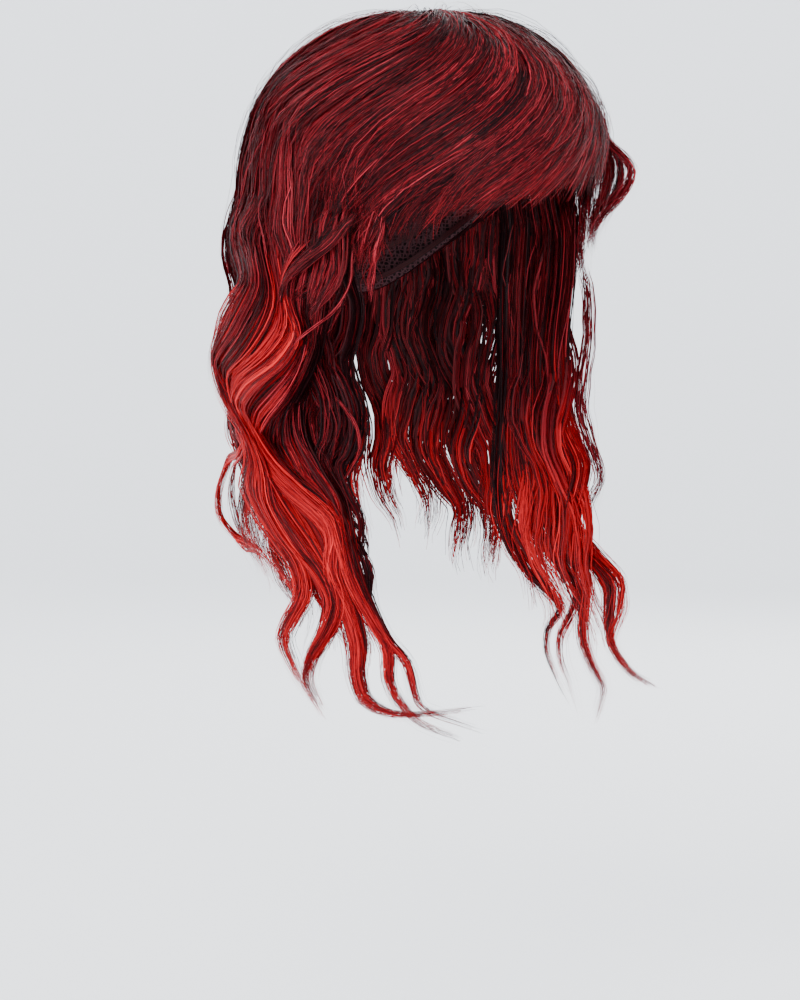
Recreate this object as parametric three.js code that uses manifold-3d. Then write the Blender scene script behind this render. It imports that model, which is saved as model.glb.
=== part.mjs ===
// A layered synthetic wig in the form it has when worn: an open cap, the hair of the crown, a fringe
// combed to one side, temple locks, short side layers, and waved tresses that hang from the sides and
// the nape and come forward over both shoulders.
// Millimetres, +Z up. The origin is the inside of the cap at its top, where the head's crown touches.
// The wearer's face looks along -Y and +X is the wearer's left. Angles round the head are in degrees
// from the face, positive towards the wearer's right.
import * as THREE from "three";
import { mergeVertices } from "three/addons/utils/BufferGeometryUtils.js";
import Module from "manifold-3d";

const wasm = await Module();
wasm.setup();

// The head that the cap fits
const HEAD_HALF_WIDTH = 76;
const HEAD_FRONT = 94;
const HEAD_BACK = 98;
const HEAD_RISE = 85;

// The cap: its wall, and how far its edge lies below the origin
const CAP_WALL = 2;
const CAP_FRONT_DROP = 46;
const CAP_EAR_DROP = 80;
const CAP_NAPE_DROP = 140;
const CAP_NAPE_TAPER = 0.17;
const FOREHEAD_TO = 20;
const EAR_AT = 90;
const NAPE_FROM = 170;

// The outer form of the crown hair
const HAIR_HALF_WIDTH = 96;
const HAIR_FRONT = 99;
const HAIR_BACK = 133;
const HAIR_OVER_CROWN = 20;
const HAIR_SQUARENESS = 2.3;
const HAIR_BELOW_CAP = 8;
const HAIR_FLARE = 0.05;
const RIDGE_HEIGHT = 2.2;
const RIDGE_COUNT = 12;
const RIDGE_SWIRL = 50;

// The free locks
const FIT_GAP = 0.4;
const FULL_LENGTH = 392;
const ROOT_SINK = 10;
const WAVE_LENGTH = 67;
const WAVE_SWING = 10;
const WAVE_DEPTH = 5;
const PHASE_PER_DEGREE = 0.012;
const FORWARD_DRIFT = 2.2;
const TRESS_WIDTH = 34;
const TRESS_THICK = 15;
const SHOULDER_REACH = 108;
const SIDE_WIDTH = 27;
const SIDE_THICK = 9;
const UNDER_SIDE_TO = 105;
const CLEAR_OF_SIDE_FROM = 125;
const TEMPLE_WIDTH = 14;
const TEMPLE_THICK = 7;
const FRINGE_DROP = 100;
const FRINGE_WIDTH = 27;
const FRINGE_THICK = 8;

// How finely the solids are faceted
const CAP_STEPS = 30;
const CAP_RINGS = 7;
const CROWN_STEPS = 48;
const CROWN_RINGS = 9;
const LOCK_SIDES = 6;
const TRESS_SECTIONS = 20;
const SHORT_SECTIONS = 6;

const DARK_NET = { color: 0x1d1114, roughness: 0.9, metalness: 0 };
const BURGUNDY = { color: 0x571420, roughness: 0.45, metalness: 0 };
const BRIGHT_RED = { color: 0xb3201f, roughness: 0.42, metalness: 0 };

const { degToRad, lerp, smoothstep, euclideanModulo } = THREE.MathUtils;
const DOWN = new THREE.Vector3(0, 0, -1);

// A point at an angle round the head, at a reach from its upright axis.
function place(angle, reach, z) {
  const a = degToRad(angle);
  return new THREE.Vector3(-reach * Math.sin(a), -reach * Math.cos(a), z);
}

// The plan outline of a head or of hair: two half ellipses that share their width.
function planReach(angle, halfWidth, front, back) {
  const a = degToRad(angle);
  const depth = Math.cos(a) > 0 ? front : back;
  return 1 / Math.hypot(Math.sin(a) / halfWidth, Math.cos(a) / depth);
}

// How far the cap's edge lies below the origin, from the forehead over the ear to the nape.
function capDrop(angle) {
  const turn = Math.abs(euclideanModulo(angle + 180, 360) - 180);
  if (turn < EAR_AT) return lerp(CAP_FRONT_DROP, CAP_EAR_DROP, smoothstep(turn, FOREHEAD_TO, EAR_AT));
  return lerp(CAP_EAR_DROP, CAP_NAPE_DROP, smoothstep(turn, EAR_AT, NAPE_FROM));
}

// The two forms over the head. skirt widens or narrows a form below its widest level.
const CAP_FORM = {
  halfWidth: HEAD_HALF_WIDTH,
  front: HEAD_FRONT,
  back: HEAD_BACK,
  rise: HEAD_RISE,
  squareness: 2,
  skirt: (share) => 1 - CAP_NAPE_TAPER * share ** 2,
};
const HAIR_FORM = {
  halfWidth: HAIR_HALF_WIDTH,
  front: HAIR_FRONT,
  back: HAIR_BACK,
  rise: HEAD_RISE + HAIR_OVER_CROWN,
  squareness: HAIR_SQUARENESS,
  skirt: (share) => 1 + HAIR_FLARE * Math.sin(Math.PI * share),
};

// The reach of a form at an angle and a height, with its surface moved out by grow.
function formReach(form, angle, z, grow) {
  const widest = planReach(angle, form.halfWidth + grow, form.front + grow, form.back + grow);
  const above = z + HEAD_RISE;
  if (above < 0) return widest * form.skirt(Math.min(1, -above / (CAP_NAPE_DROP - HEAD_RISE)));
  const share = Math.min(1, above / (form.rise + grow));
  return widest * (1 - share ** form.squareness) ** (1 / form.squareness);
}

// The rings of points of a form from just below its pole to its edge, which lies below the cap's by
// lower. They lie closer together over the dome than down the sides.
function formRings(form, grow, lower, steps, rings, relief) {
  const top = form.rise - HEAD_RISE + grow;
  return Array.from({ length: rings }, (_, r) => {
    const share = (r + 1) / rings;
    const fall = lerp(1 - Math.cos((share * Math.PI) / 2), share, 0.4 * share);
    return Array.from({ length: steps }, (_, i) => {
      const angle = (-i * 360) / steps;
      const z = lerp(top, -capDrop(angle) - lower, fall);
      return place(angle, formReach(form, angle, z, grow) + relief(angle, share), z);
    });
  });
}

// The ridges of the combed locks, which swirl out from the crown of the head.
function ridges(angle, share) {
  const combed = angle - RIDGE_SWIRL * share ** 2;
  return RIDGE_HEIGHT * Math.sin(Math.PI * share ** 0.8) * Math.cos(degToRad(combed * RIDGE_COUNT));
}

// A closed skin over rings of points, from a first pole to a last one, as a solid facing out.
function skin(firstPole, rings, lastPole) {
  const steps = rings[0].length;
  const points = [firstPole, ...rings.flat(), lastPole];
  const at = (r, i) => 1 + r * steps + (i % steps);
  const faces = [];
  for (let i = 0; i < steps; i++) {
    faces.push(0, at(0, i), at(0, i + 1));
    for (let r = 0; r < rings.length - 1; r++) {
      faces.push(at(r, i), at(r + 1, i), at(r, i + 1));
      faces.push(at(r, i + 1), at(r + 1, i), at(r + 1, i + 1));
    }
    faces.push(at(rings.length - 1, i), points.length - 1, at(rings.length - 1, i + 1));
  }
  const shape = new THREE.BufferGeometry().setFromPoints(points);
  shape.setIndex(faces);
  const merged = mergeVertices(shape, 1e-4);
  return new wasm.Manifold(
    new wasm.Mesh({
      numProp: 3,
      vertProperties: merged.attributes.position.array,
      triVerts: new Uint32Array(merged.index.array),
    }),
  );
}

const poleOf = (form, grow) => new THREE.Vector3(0, 0, form.rise - HEAD_RISE + grow);
const smooth = () => 0;

// The cap: its outer face down to the edge, then its inner face back up.
function capShell() {
  const face = (grow) => formRings(CAP_FORM, grow, 0, CAP_STEPS, CAP_RINGS, smooth);
  const rings = [...face(CAP_WALL), ...face(0).reverse()];
  return skin(poleOf(CAP_FORM, CAP_WALL), rings, poleOf(CAP_FORM, 0));
}

// The room that the crown hair leaves for the head and the cap, carried on down past its own edge.
function headSpace() {
  const grow = CAP_WALL + FIT_GAP;
  const rings = formRings(CAP_FORM, grow, 0, CAP_STEPS, CAP_RINGS, smooth);
  const below = rings.at(-1).map(({ x, y, z }) => new THREE.Vector3(x, y, z - 2 * HAIR_BELOW_CAP));
  return skin(poleOf(CAP_FORM, grow), [...rings, below], new THREE.Vector3(0, 0, -CAP_NAPE_DROP));
}

// The crown hair with its hollow filled in, grown by grow. Its underside runs in level to the cap.
function crownFilled(grow) {
  const relief = (angle, share) => ridges(angle, share) + grow;
  const rings = formRings(HAIR_FORM, 0, HAIR_BELOW_CAP + grow, CROWN_STEPS, CROWN_RINGS, relief);
  const [inner] = formRings(CAP_FORM, 0, HAIR_BELOW_CAP + grow, CROWN_STEPS, 1, smooth);
  return skin(poleOf(HAIR_FORM, grow), [...rings, inner], new THREE.Vector3(0, 0, -CAP_FRONT_DROP));
}

// A lock along a path, in oval sections that are wide across and thin through. A level lock keeps
// its sections flat, as hanging waves do, and any other turns them square to its path.
function lock({ path, width, thick, sections, level }, grow) {
  const step = 1e-3;
  const rings = [];
  for (let k = 1; k < sections; k++) {
    const s = k / sections;
    const centre = path(s);
    const along = level ? DOWN : path(s + step).sub(path(s - step)).normalize();
    const outwards = new THREE.Vector3(centre.x, centre.y, 0).normalize();
    const across = new THREE.Vector3().crossVectors(along, outwards).normalize();
    const through = new THREE.Vector3().crossVectors(across, along);
    rings.push(
      Array.from({ length: LOCK_SIDES }, (_, i) => {
        const turn = (i * 2 * Math.PI) / LOCK_SIDES;
        return centre
          .clone()
          .addScaledVector(across, Math.cos(turn) * (width(s) / 2 + grow))
          .addScaledVector(through, Math.sin(turn) * (thick(s) / 2 + grow));
      }),
    );
  }
  return skin(path(0), rings, path(1));
}

// How full a lock is along its length: it swells from the root and is drawn out to its tip.
const fullness = (s) => Math.sqrt(smoothstep(s, -0.08, 0.14)) * (1 - smoothstep(s, 0.45, 1.04)) ** 0.7;

// Every free lock starts a little above the crown hair's lower edge, and is cut off there.
const rootDrop = (angle) => capDrop(angle) + HAIR_BELOW_CAP - ROOT_SINK;

// The long tresses. root and tip are angles, end is the tip's drop as a share of FULL_LENGTH, belly
// is the reach at mid length as a share of the hair's plan outline there, reach is the tip's as a
// share of SHOULDER_REACH, swing is a share of WAVE_SWING and size is a share of TRESS_WIDTH.
const TRESSES = {
  tresses_front_right: [
    { root: 91, tip: 46, end: 0.96, belly: 0.84, reach: 1.02, swing: 0.7, size: 0.75 },
    { root: 99, tip: 62, end: 0.9, belly: 0.9, reach: 1, swing: 1, size: 1 },
  ],
  tresses_front_left: [
    { root: -91, tip: -54, end: 0.92, belly: 1.02, reach: 1, swing: 0.8, size: 0.75 },
    { root: -99, tip: -66, end: 0.95, belly: 1.1, reach: 1.05, swing: 1, size: 0.9 },
  ],
  tresses_side_right: [
    { root: 110, tip: 72, end: 0.93, belly: 1.08, reach: 1.03, swing: 1.8, size: 1 },
    { root: 119, tip: 82, end: 0.88, belly: 1.08, reach: 1, swing: 1, size: 1.05 },
  ],
  tresses_side_left: [
    { root: -109, tip: -80, end: 0.9, belly: 1, reach: 1, swing: 1.2, size: 1 },
    { root: -119, tip: -92, end: 0.94, belly: 1.06, reach: 1.06, swing: 1.1, size: 1 },
  ],
  tresses_rear_right: [
    { root: 131, tip: 98, end: 0.82, belly: 1.16, reach: 1.06, swing: 1.1, size: 1 },
    { root: 146, tip: 118, end: 0.76, belly: 1.08, reach: 1.02, swing: 1, size: 1.2 },
  ],
  tresses_rear_left: [
    { root: -131, tip: -104, end: 0.85, belly: 1.06, reach: 1.06, swing: 1.1, size: 1 },
    { root: -146, tip: -120, end: 0.78, belly: 1, reach: 1.02, swing: 1, size: 1.2 },
  ],
  tresses_nape: [
    { root: 163, tip: 156, end: 0.76, belly: 0.94, reach: 0.97, swing: 0.9, size: 1.35 },
    { root: 180, tip: 180, end: 0.72, belly: 0.9, reach: 0.94, swing: 0.9, size: 1.35 },
    { root: 197, tip: 204, end: 0.78, belly: 0.94, reach: 0.97, swing: 0.9, size: 1.35 },
  ],
};

// A tress hangs from the crown hair's edge, swings in waves and drifts forward to its tip.
function tress(row) {
  const outline = planReach(row.root, HAIR_HALF_WIDTH, HAIR_FRONT, HAIR_BACK) - TRESS_THICK / 2;
  const tucked = outline - SIDE_THICK * (1 - smoothstep(Math.abs(row.root), UNDER_SIDE_TO, CLEAR_OF_SIDE_FROM));
  const path = (s) => {
    const z = -lerp(rootDrop(row.root), row.end * FULL_LENGTH, s);
    const angle = lerp(row.root, row.tip, s ** FORWARD_DRIFT);
    const hang = lerp(tucked, outline * row.belly, smoothstep(s, 0, 0.4));
    const reach = lerp(hang, SHOULDER_REACH * row.reach, smoothstep(s, 0.45, 1));
    const turn = 2 * Math.PI * (z / WAVE_LENGTH + Math.abs(row.root) * PHASE_PER_DEGREE);
    const swing = row.swing * smoothstep(s, 0, 0.3);
    const centre = place(angle, reach + WAVE_DEPTH * swing * Math.cos(turn), z);
    const aside = Math.sign(row.root) * WAVE_SWING * swing * Math.sin(turn);
    return centre.add(place(angle + 90, aside, 0));
  };
  return {
    path,
    width: (s) => TRESS_WIDTH * row.size * fullness(s),
    thick: (s) => TRESS_THICK * fullness(s),
    sections: TRESS_SECTIONS,
    level: true,
  };
}

// The short side layers over the ears. turn is the angle that a lock sweeps back through as it falls,
// end is its tip's drop as a share of FULL_LENGTH, and lift is how far the tip stands off, in shares
// of SIDE_THICK.
const SIDE_LAYERS = {
  side_layer_right: [
    { root: 90, turn: 16, end: 0.36, lift: 0.3, size: 0.95 },
    { root: 102, turn: 14, end: 0.41, lift: 0.5, size: 1.05 },
    { root: 114, turn: 10, end: 0.44, lift: 0.4, size: 1.05 },
  ],
  side_layer_left: [
    { root: -88, turn: -14, end: 0.38, lift: 0.5, size: 0.95 },
    { root: -100, turn: -14, end: 0.4, lift: 0.4, size: 1.05 },
    { root: -113, turn: -10, end: 0.45, lift: 0.4, size: 1.05 },
  ],
};

function sideLock(row) {
  const path = (s) => {
    const z = -lerp(rootDrop(row.root), row.end * FULL_LENGTH, s);
    const angle = row.root + row.turn * s ** 2;
    const reach = formReach(HAIR_FORM, angle, z, 0) - SIDE_THICK / 2 + SIDE_THICK * row.lift * s;
    return place(angle, reach, z);
  };
  return {
    path,
    width: (s) => SIDE_WIDTH * row.size * fullness(s),
    thick: (s) => SIDE_THICK * fullness(s),
    sections: SHORT_SECTIONS,
    level: false,
  };
}

// The locks that lie on the forehead and the temples. root is an angle, turn is the angle that the
// lock sweeps through towards the wearer's right, end is the tip's drop as a share of FRINGE_DROP,
// bulge is how far it stands out at mid length as a share of its thickness, and size is a share of
// its width.
const FRINGE = [
  { root: -45, turn: 12, end: 0.86, bulge: 0.8, size: 1 },
  { root: -34, turn: 22, end: 0.82, bulge: 0.6, size: 1 },
  { root: -20, turn: 32, end: 0.87, bulge: 0.5, size: 1.1 },
  { root: -6, turn: 35, end: 0.92, bulge: 0.5, size: 1.15 },
  { root: 9, turn: 35, end: 0.99, bulge: 0.5, size: 1.2 },
  { root: 24, turn: 33, end: 1.06, bulge: 0.5, size: 1.2 },
  { root: 40, turn: 27, end: 1.16, bulge: 0.4, size: 1.1 },
  { root: 55, turn: 18, end: 1.32, bulge: 0.4, size: 1 },
];
const TEMPLES = {
  temple_lock_right: [
    { root: 74, turn: -2, end: 1.6, bulge: 0.4, size: 0.9 },
    { root: 81, turn: -2, end: 1.75, bulge: 0.4, size: 1.1 },
  ],
  temple_lock_left: [
    { root: -54, turn: -3, end: 1.2, bulge: 2, size: 1 },
    { root: -61, turn: 0, end: 1.4, bulge: 1.2, size: 1.1 },
    { root: -68, turn: 2, end: 1.75, bulge: 0.6, size: 1.1 },
  ],
};

function skinLock(row, fullWidth, fullThick) {
  const path = (s) => {
    const angle = row.root + row.turn * smoothstep(s, 0, 1.1);
    const z = -lerp(rootDrop(row.root), row.end * FRINGE_DROP, s);
    const root = formReach(HAIR_FORM, angle, z, 0) - fullThick / 2;
    const tip = planReach(angle, HEAD_HALF_WIDTH, HEAD_FRONT, HEAD_BACK) + fullThick / 2;
    const bulge = fullThick * row.bulge * Math.sin(Math.PI * s) ** 2;
    return place(angle, lerp(root, tip, smoothstep(s, 0.2, 1)) + bulge, z);
  };
  return {
    path,
    width: (s) => fullWidth * row.size * fullness(s),
    thick: (s) => fullThick * fullness(s),
    sections: SHORT_SECTIONS,
    level: false,
  };
}

// A solid as a named mesh.
function piece(name, solid, finish) {
  const { numProp, numVert, vertProperties, triVerts } = solid.getMesh();
  const positions = new Float32Array(numVert * 3);
  for (let i = 0; i < numVert; i++) {
    positions.set(vertProperties.subarray(i * numProp, i * numProp + 3), i * 3);
  }
  const geometry = new THREE.BufferGeometry();
  geometry.setAttribute("position", new THREE.BufferAttribute(positions, 3));
  geometry.setIndex(new THREE.BufferAttribute(triVerts, 1));
  geometry.computeVertexNormals();
  const mesh = new THREE.Mesh(geometry, new THREE.MeshStandardMaterial(finish));
  mesh.name = name;
  return mesh;
}

const wig = new THREE.Group();
wig.name = "wig";

wig.add(piece("cap", capShell(), DARK_NET));
wig.add(piece("crown_hair", crownFilled(0).subtract(headSpace()), BURGUNDY));

// The free pieces, outermost first. Each is its locks joined, cut clear of the crown hair and of the
// free pieces before it, and rid of the slivers that the cuts leave.
const taken = [crownFilled(FIT_GAP)];
function addFree(name, locks, finish) {
  const joined = (grow) => locks.map((one) => lock(one, grow)).reduce((all, one) => all.add(one));
  const bodies = taken.reduce((left, one) => left.subtract(one), joined(0)).decompose();
  const main = bodies.reduce((a, b) => (a.volume() > b.volume() ? a : b));
  wig.add(piece(name, main, finish));
  taken.push(joined(FIT_GAP));
}

addFree("fringe", FRINGE.map((row) => skinLock(row, FRINGE_WIDTH, FRINGE_THICK)), BURGUNDY);
for (const [name, rows] of Object.entries(TEMPLES)) {
  addFree(name, rows.map((row) => skinLock(row, TEMPLE_WIDTH, TEMPLE_THICK)), BURGUNDY);
}
for (const [name, rows] of Object.entries(SIDE_LAYERS)) {
  addFree(name, rows.map(sideLock), BURGUNDY);
}
for (const [name, rows] of Object.entries(TRESSES)) {
  addFree(name, rows.map(tress), BRIGHT_RED);
}

export default wig;
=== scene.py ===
"""Looks for a layered synthetic wig: combed fibre over a net cap, waved tresses dyed bright at the ends."""

import logging
import math
from dataclasses import dataclass, field
from enum import Enum

import bpy
import numpy as np
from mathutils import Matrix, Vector


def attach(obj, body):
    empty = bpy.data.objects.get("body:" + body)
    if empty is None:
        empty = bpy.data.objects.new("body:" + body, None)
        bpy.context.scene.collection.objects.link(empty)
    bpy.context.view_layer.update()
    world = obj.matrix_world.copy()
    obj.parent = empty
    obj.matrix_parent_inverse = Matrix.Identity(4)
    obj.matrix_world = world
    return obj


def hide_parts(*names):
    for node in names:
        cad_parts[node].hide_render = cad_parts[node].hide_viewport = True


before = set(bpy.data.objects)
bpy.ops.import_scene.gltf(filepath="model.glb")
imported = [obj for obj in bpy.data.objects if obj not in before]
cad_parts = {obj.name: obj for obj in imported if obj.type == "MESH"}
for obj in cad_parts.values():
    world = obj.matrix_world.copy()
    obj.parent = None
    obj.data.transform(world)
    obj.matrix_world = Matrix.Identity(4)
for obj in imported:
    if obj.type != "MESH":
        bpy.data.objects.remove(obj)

LOG = logging.getLogger("wig")
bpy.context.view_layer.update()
# The metres in a millimetre.
MM = 0.001
# Seeds all chance values, so that each run draws the same hair.
SEED = 11
# How far the shade's coordinate runs across one mm of a strand, which the fine stripes are scaled by.
STRIPE_SPAN = 0.05


class Slot(Enum):
    """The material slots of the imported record."""

    CAP_NET = "cap_net"
    BURGUNDY = "burgundy_fibre"
    FADED = "faded_fibre"


def smooth(x: np.ndarray, low: float, high: float) -> np.ndarray:
    """Eases from 0 at low to 1 at high."""
    t = np.clip((np.asarray(x, float) - low) / (high - low), 0.0, 1.0)
    return t * t * (3.0 - 2.0 * t)


def mix(a: np.ndarray, b: np.ndarray, share: np.ndarray) -> np.ndarray:
    """Goes from a at share 0 to b at share 1."""
    return a + (b - a) * share


def unit(vectors: np.ndarray) -> np.ndarray:
    """Scales vectors to a length of 1."""
    return vectors / np.maximum(np.linalg.norm(vectors, axis=-1, keepdims=True), 1e-9)


def level(points: np.ndarray) -> np.ndarray:
    """Gives the level directions from the upright axis to points."""
    return unit(points * [1.0, 1.0, 0.0])


def turned(share: np.ndarray) -> np.ndarray:
    """Spreads shares over a dome: as the turn of a quarter circle, and evenly towards its edge."""
    return mix(1.0 - np.cos(share * math.pi / 2), share, 0.4 * share)


def waves(turns: np.ndarray) -> np.ndarray:
    """Gives the sine of whole turns."""
    return np.sin(2 * math.pi * turns)


def linear(hex_colour: str) -> tuple[float, float, float, float]:
    """Turns an sRGB hex colour into a linear one.

    Args:
        hex_colour: a colour such as "#5a1520".

    Returns:
        The linear red, green and blue, and an alpha of 1.
    """
    parts = [int(hex_colour[i : i + 2], 16) / 255 for i in (1, 3, 5)]
    flat = [c / 12.92 if c <= 0.04045 else ((c + 0.055) / 1.055) ** 2.4 for c in parts]
    return (*flat, 1.0)


def node(
    tree: bpy.types.NodeTree, kind: str, settings: dict | None = None, **links: object
) -> bpy.types.Node:
    """Adds a shader node.

    Args:
        tree: the node tree that it goes into.
        kind: the node's type name.
        settings: attributes to set on it.
        **links: a value or an output socket for each input, named with _ for a space.

    Returns:
        The new node.
    """
    made = tree.nodes.new(kind)
    for name, value in (settings or {}).items():
        setattr(made, name, value)
    for name, value in links.items():
        socket = made.inputs[int(name[1:])] if name[1:].isdigit() else made.inputs[name.replace("_", " ")]
        if isinstance(value, bpy.types.NodeSocket):
            tree.links.new(value, socket)
        else:
            socket.default_value = value
    return made


def blank(name: str) -> tuple[bpy.types.Material, bpy.types.NodeTree]:
    """Adds a material with an empty node tree.

    Args:
        name: the material's name.

    Returns:
        The material and its node tree.
    """
    material = bpy.data.materials.new(name)
    material.use_nodes = True
    material.node_tree.nodes.clear()
    return material, material.node_tree


def put_together(
    tree: bpy.types.NodeTree, colour: bpy.types.NodeSocket, height: bpy.types.NodeSocket,
    relief_mm: float, strength: float, roughness: float, specular: float,
) -> None:
    """Ends a finish with its relief, its surface and its output.

    Args:
        tree: the node tree.
        colour: where the colour comes from.
        height: where the relief comes from.
        relief_mm: the relief's full height in mm.
        strength: how strongly the relief shows, 0 to 1.
        roughness: the surface's roughness.
        specular: the level of its specular light.
    """
    relief = node(tree, "ShaderNodeBump", Height=height, Strength=strength, Distance=relief_mm * MM)
    shader = node(
        tree, "ShaderNodeBsdfPrincipled",
        Base_Color=colour, Roughness=roughness, Specular_IOR_Level=specular, Normal=relief.outputs["Normal"],
    )
    node(tree, "ShaderNodeOutputMaterial", Surface=shader.outputs["BSDF"])


@dataclass(frozen=True)
class WigForm:
    """The head, the cap and the crown hair's outer form in mm, as the frame has them.

    Angles are in degrees round the head from the face, positive towards the wearer's right, and a
    drop is how far a point lies below the inside top of the cap.
    """

    head_half_width: float = 76.0
    head_front: float = 94.0
    head_back: float = 98.0
    head_rise: float = 85.0
    cap_wall: float = 2.0
    cap_front_drop: float = 46.0
    cap_ear_drop: float = 80.0
    cap_nape_drop: float = 140.0
    cap_nape_taper: float = 0.17
    hair_half_width: float = 96.0
    hair_front: float = 99.0
    hair_back: float = 133.0
    hair_over_crown: float = 20.0
    hair_squareness: float = 2.3
    hair_below_cap: float = 8.0
    hair_flare: float = 0.05

    def place(self, angle: np.ndarray, reach: np.ndarray, drop: np.ndarray) -> np.ndarray:
        """Gives points from angles, reaches and drops, as an array that ends in x, y, z."""
        a = np.radians(angle)
        return np.stack(np.broadcast_arrays(-reach * np.sin(a), -reach * np.cos(a), -drop), axis=-1)

    def plan_reach(self, angle: np.ndarray, half_width: float, front: float, back: float) -> np.ndarray:
        """Gives the reach of a plan outline made of two half ellipses.

        Args:
            angle: angles in degrees.
            half_width: half its width in mm.
            front: its depth before the axis in mm.
            back: its depth behind the axis in mm.

        Returns:
            The reach in mm.
        """
        a = np.radians(angle)
        depth = np.where(np.cos(a) > 0, front, back)
        return 1.0 / np.hypot(np.sin(a) / half_width, np.cos(a) / depth)

    def cap_drop(self, angle: np.ndarray) -> np.ndarray:
        """Gives how far the cap's edge lies below the origin at an angle.

        Args:
            angle: angles in degrees.

        Returns:
            The drop in mm.
        """
        turn = np.abs(np.mod(np.asarray(angle, float) + 180.0, 360.0) - 180.0)
        front = mix(self.cap_front_drop, self.cap_ear_drop, smooth(turn, 20, 90))
        back = mix(self.cap_ear_drop, self.cap_nape_drop, smooth(turn, 90, 170))
        return np.where(turn < 90, front, back)

    def cap_reach(self, angle: np.ndarray, drop: np.ndarray, grow: float) -> np.ndarray:
        """Gives the reach of the head, or of the cap over it, with grow added all round.

        Args:
            angle: angles in degrees.
            drop: drops in mm.
            grow: what is added all round in mm.

        Returns:
            The reach in mm.
        """
        sides = (self.head_half_width + grow, self.head_front + grow, self.head_back + grow)
        wide = self.plan_reach(angle, *sides)
        above = (self.head_rise - drop) / (self.head_rise + grow)
        dome = np.sqrt(np.clip(1.0 - np.clip(above, 0, 1) ** 2, 0, 1))
        below = np.clip((drop - self.head_rise) / (self.cap_nape_drop - self.head_rise), 0, 1)
        return wide * np.where(above > 0, dome, 1.0 - self.cap_nape_taper * below**2)

    def hair_reach(self, angle: np.ndarray, drop: np.ndarray) -> np.ndarray:
        """Gives the reach of the crown hair's outer form.

        Args:
            angle: angles in degrees.
            drop: drops in mm.

        Returns:
            The reach in mm.
        """
        wide = self.plan_reach(angle, self.hair_half_width, self.hair_front, self.hair_back)
        above = np.clip((self.head_rise - drop) / (self.head_rise + self.hair_over_crown), 0, 1)
        dome = (1.0 - above**self.hair_squareness) ** (1.0 / self.hair_squareness)
        below = np.clip((drop - self.head_rise) / (self.cap_nape_drop - self.head_rise), 0, 1)
        skirt = 1.0 + self.hair_flare * np.sin(math.pi * below)
        return wide * np.where(drop < self.head_rise, dome, skirt)

    def dome_drop(self, angle: np.ndarray, share: np.ndarray) -> np.ndarray:
        """Gives the drop a share of the way down the crown hair, from its top to its edge."""
        edge = self.cap_drop(angle) + self.hair_below_cap
        return mix(-self.hair_over_crown, edge, turned(share))


FORM = WigForm()


@dataclass(frozen=True)
class PhotoView:
    """The photograph's view: it finds the place in mm of a pixel of the 800 by 1000 picture.

    Attributes:
        aim: the point at the picture's middle, in mm.
        distance: the camera's distance from it, in mm.
        azimuth: the camera's angle round the wig in degrees.
        elevation: its angle above the horizon in degrees.
        lens: its focal length in mm.
        sensor: the sensor's size in mm along the picture's longer side.
        middle: the pixel at the picture's middle.
        long_side: the picture's longer side in pixels.
        first_drop: the drop in mm at which the search for a reach starts.
        rounds: how often the search corrects its drop.
    """

    aim: tuple[float, float, float] = (-15.3, 15.3, -258.0)
    distance: float = 1800.0
    azimuth: float = -45.0
    elevation: float = 4.0
    lens: float = 113.7
    sensor: float = 36.0
    middle: tuple[float, float] = (400.0, 500.0)
    long_side: float = 1000.0
    first_drop: float = 100.0
    rounds: int = 6

    def back(self) -> np.ndarray:
        """Gives the direction from the aim to the camera."""
        a, e = math.radians(self.azimuth), math.radians(self.elevation)
        return np.array([math.sin(a) * math.cos(e), -math.cos(a) * math.cos(e), math.sin(e)])

    def eye(self) -> np.ndarray:
        """Gives the camera's place in mm."""
        return np.array(self.aim) + self.back() * self.distance

    def rays(self, pixels: np.ndarray) -> np.ndarray:
        """Gives the directions from the camera through pixels.

        Args:
            pixels: x and y of each pixel.

        Returns:
            A vector for each pixel, not of length 1.
        """
        back = self.back()
        right = np.cross(-back, [0.0, 0.0, 1.0])
        right /= np.linalg.norm(right)
        up = np.cross(right, -back)
        x, y = (np.asarray(pixels, float) - self.middle).T
        return right * x[:, None] - up * y[:, None] - back * self.lens / self.sensor * self.long_side

    def beside(self, pixels: np.ndarray, angle: float) -> np.ndarray:
        """Finds where pixels meet the upright plane that leaves the head's axis at an angle.

        Args:
            pixels: x and y of each pixel.
            angle: the plane's angle round the head in degrees.

        Returns:
            The points in mm.
        """
        a = math.radians(angle)
        normal = np.array([math.cos(a), -math.sin(a), 0.0])
        rays = self.rays(pixels)
        return self.eye() - rays * (normal @ self.eye() / (rays @ normal))[:, None]

    def place(self, pixels: np.ndarray, reach: np.ndarray, far: bool) -> np.ndarray:
        """Finds where pixels meet hair that hangs at a reach from the head's axis.

        Args:
            pixels: x and y of each pixel.
            reach: rows of drop and reach in mm, from the root down.
            far: whether the hair is on the side turned away from the camera.

        Returns:
            The points in mm.
        """
        start, rays = self.eye(), self.rays(pixels)
        run = (rays[:, :2] ** 2).sum(1)
        toward = rays[:, :2] @ start[:2]
        drop = np.full(len(rays), self.first_drop)
        for _ in range(self.rounds):
            wide = np.interp(drop, *np.array(reach, float).T)
            left = np.maximum(toward**2 - run * (start[:2] @ start[:2] - wide**2), 0.0)
            points = start + rays * ((-toward + (1 if far else -1) * np.sqrt(left)) / run)[:, None]
            drop = -points[:, 2]
        return points


VIEW = PhotoView()


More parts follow.
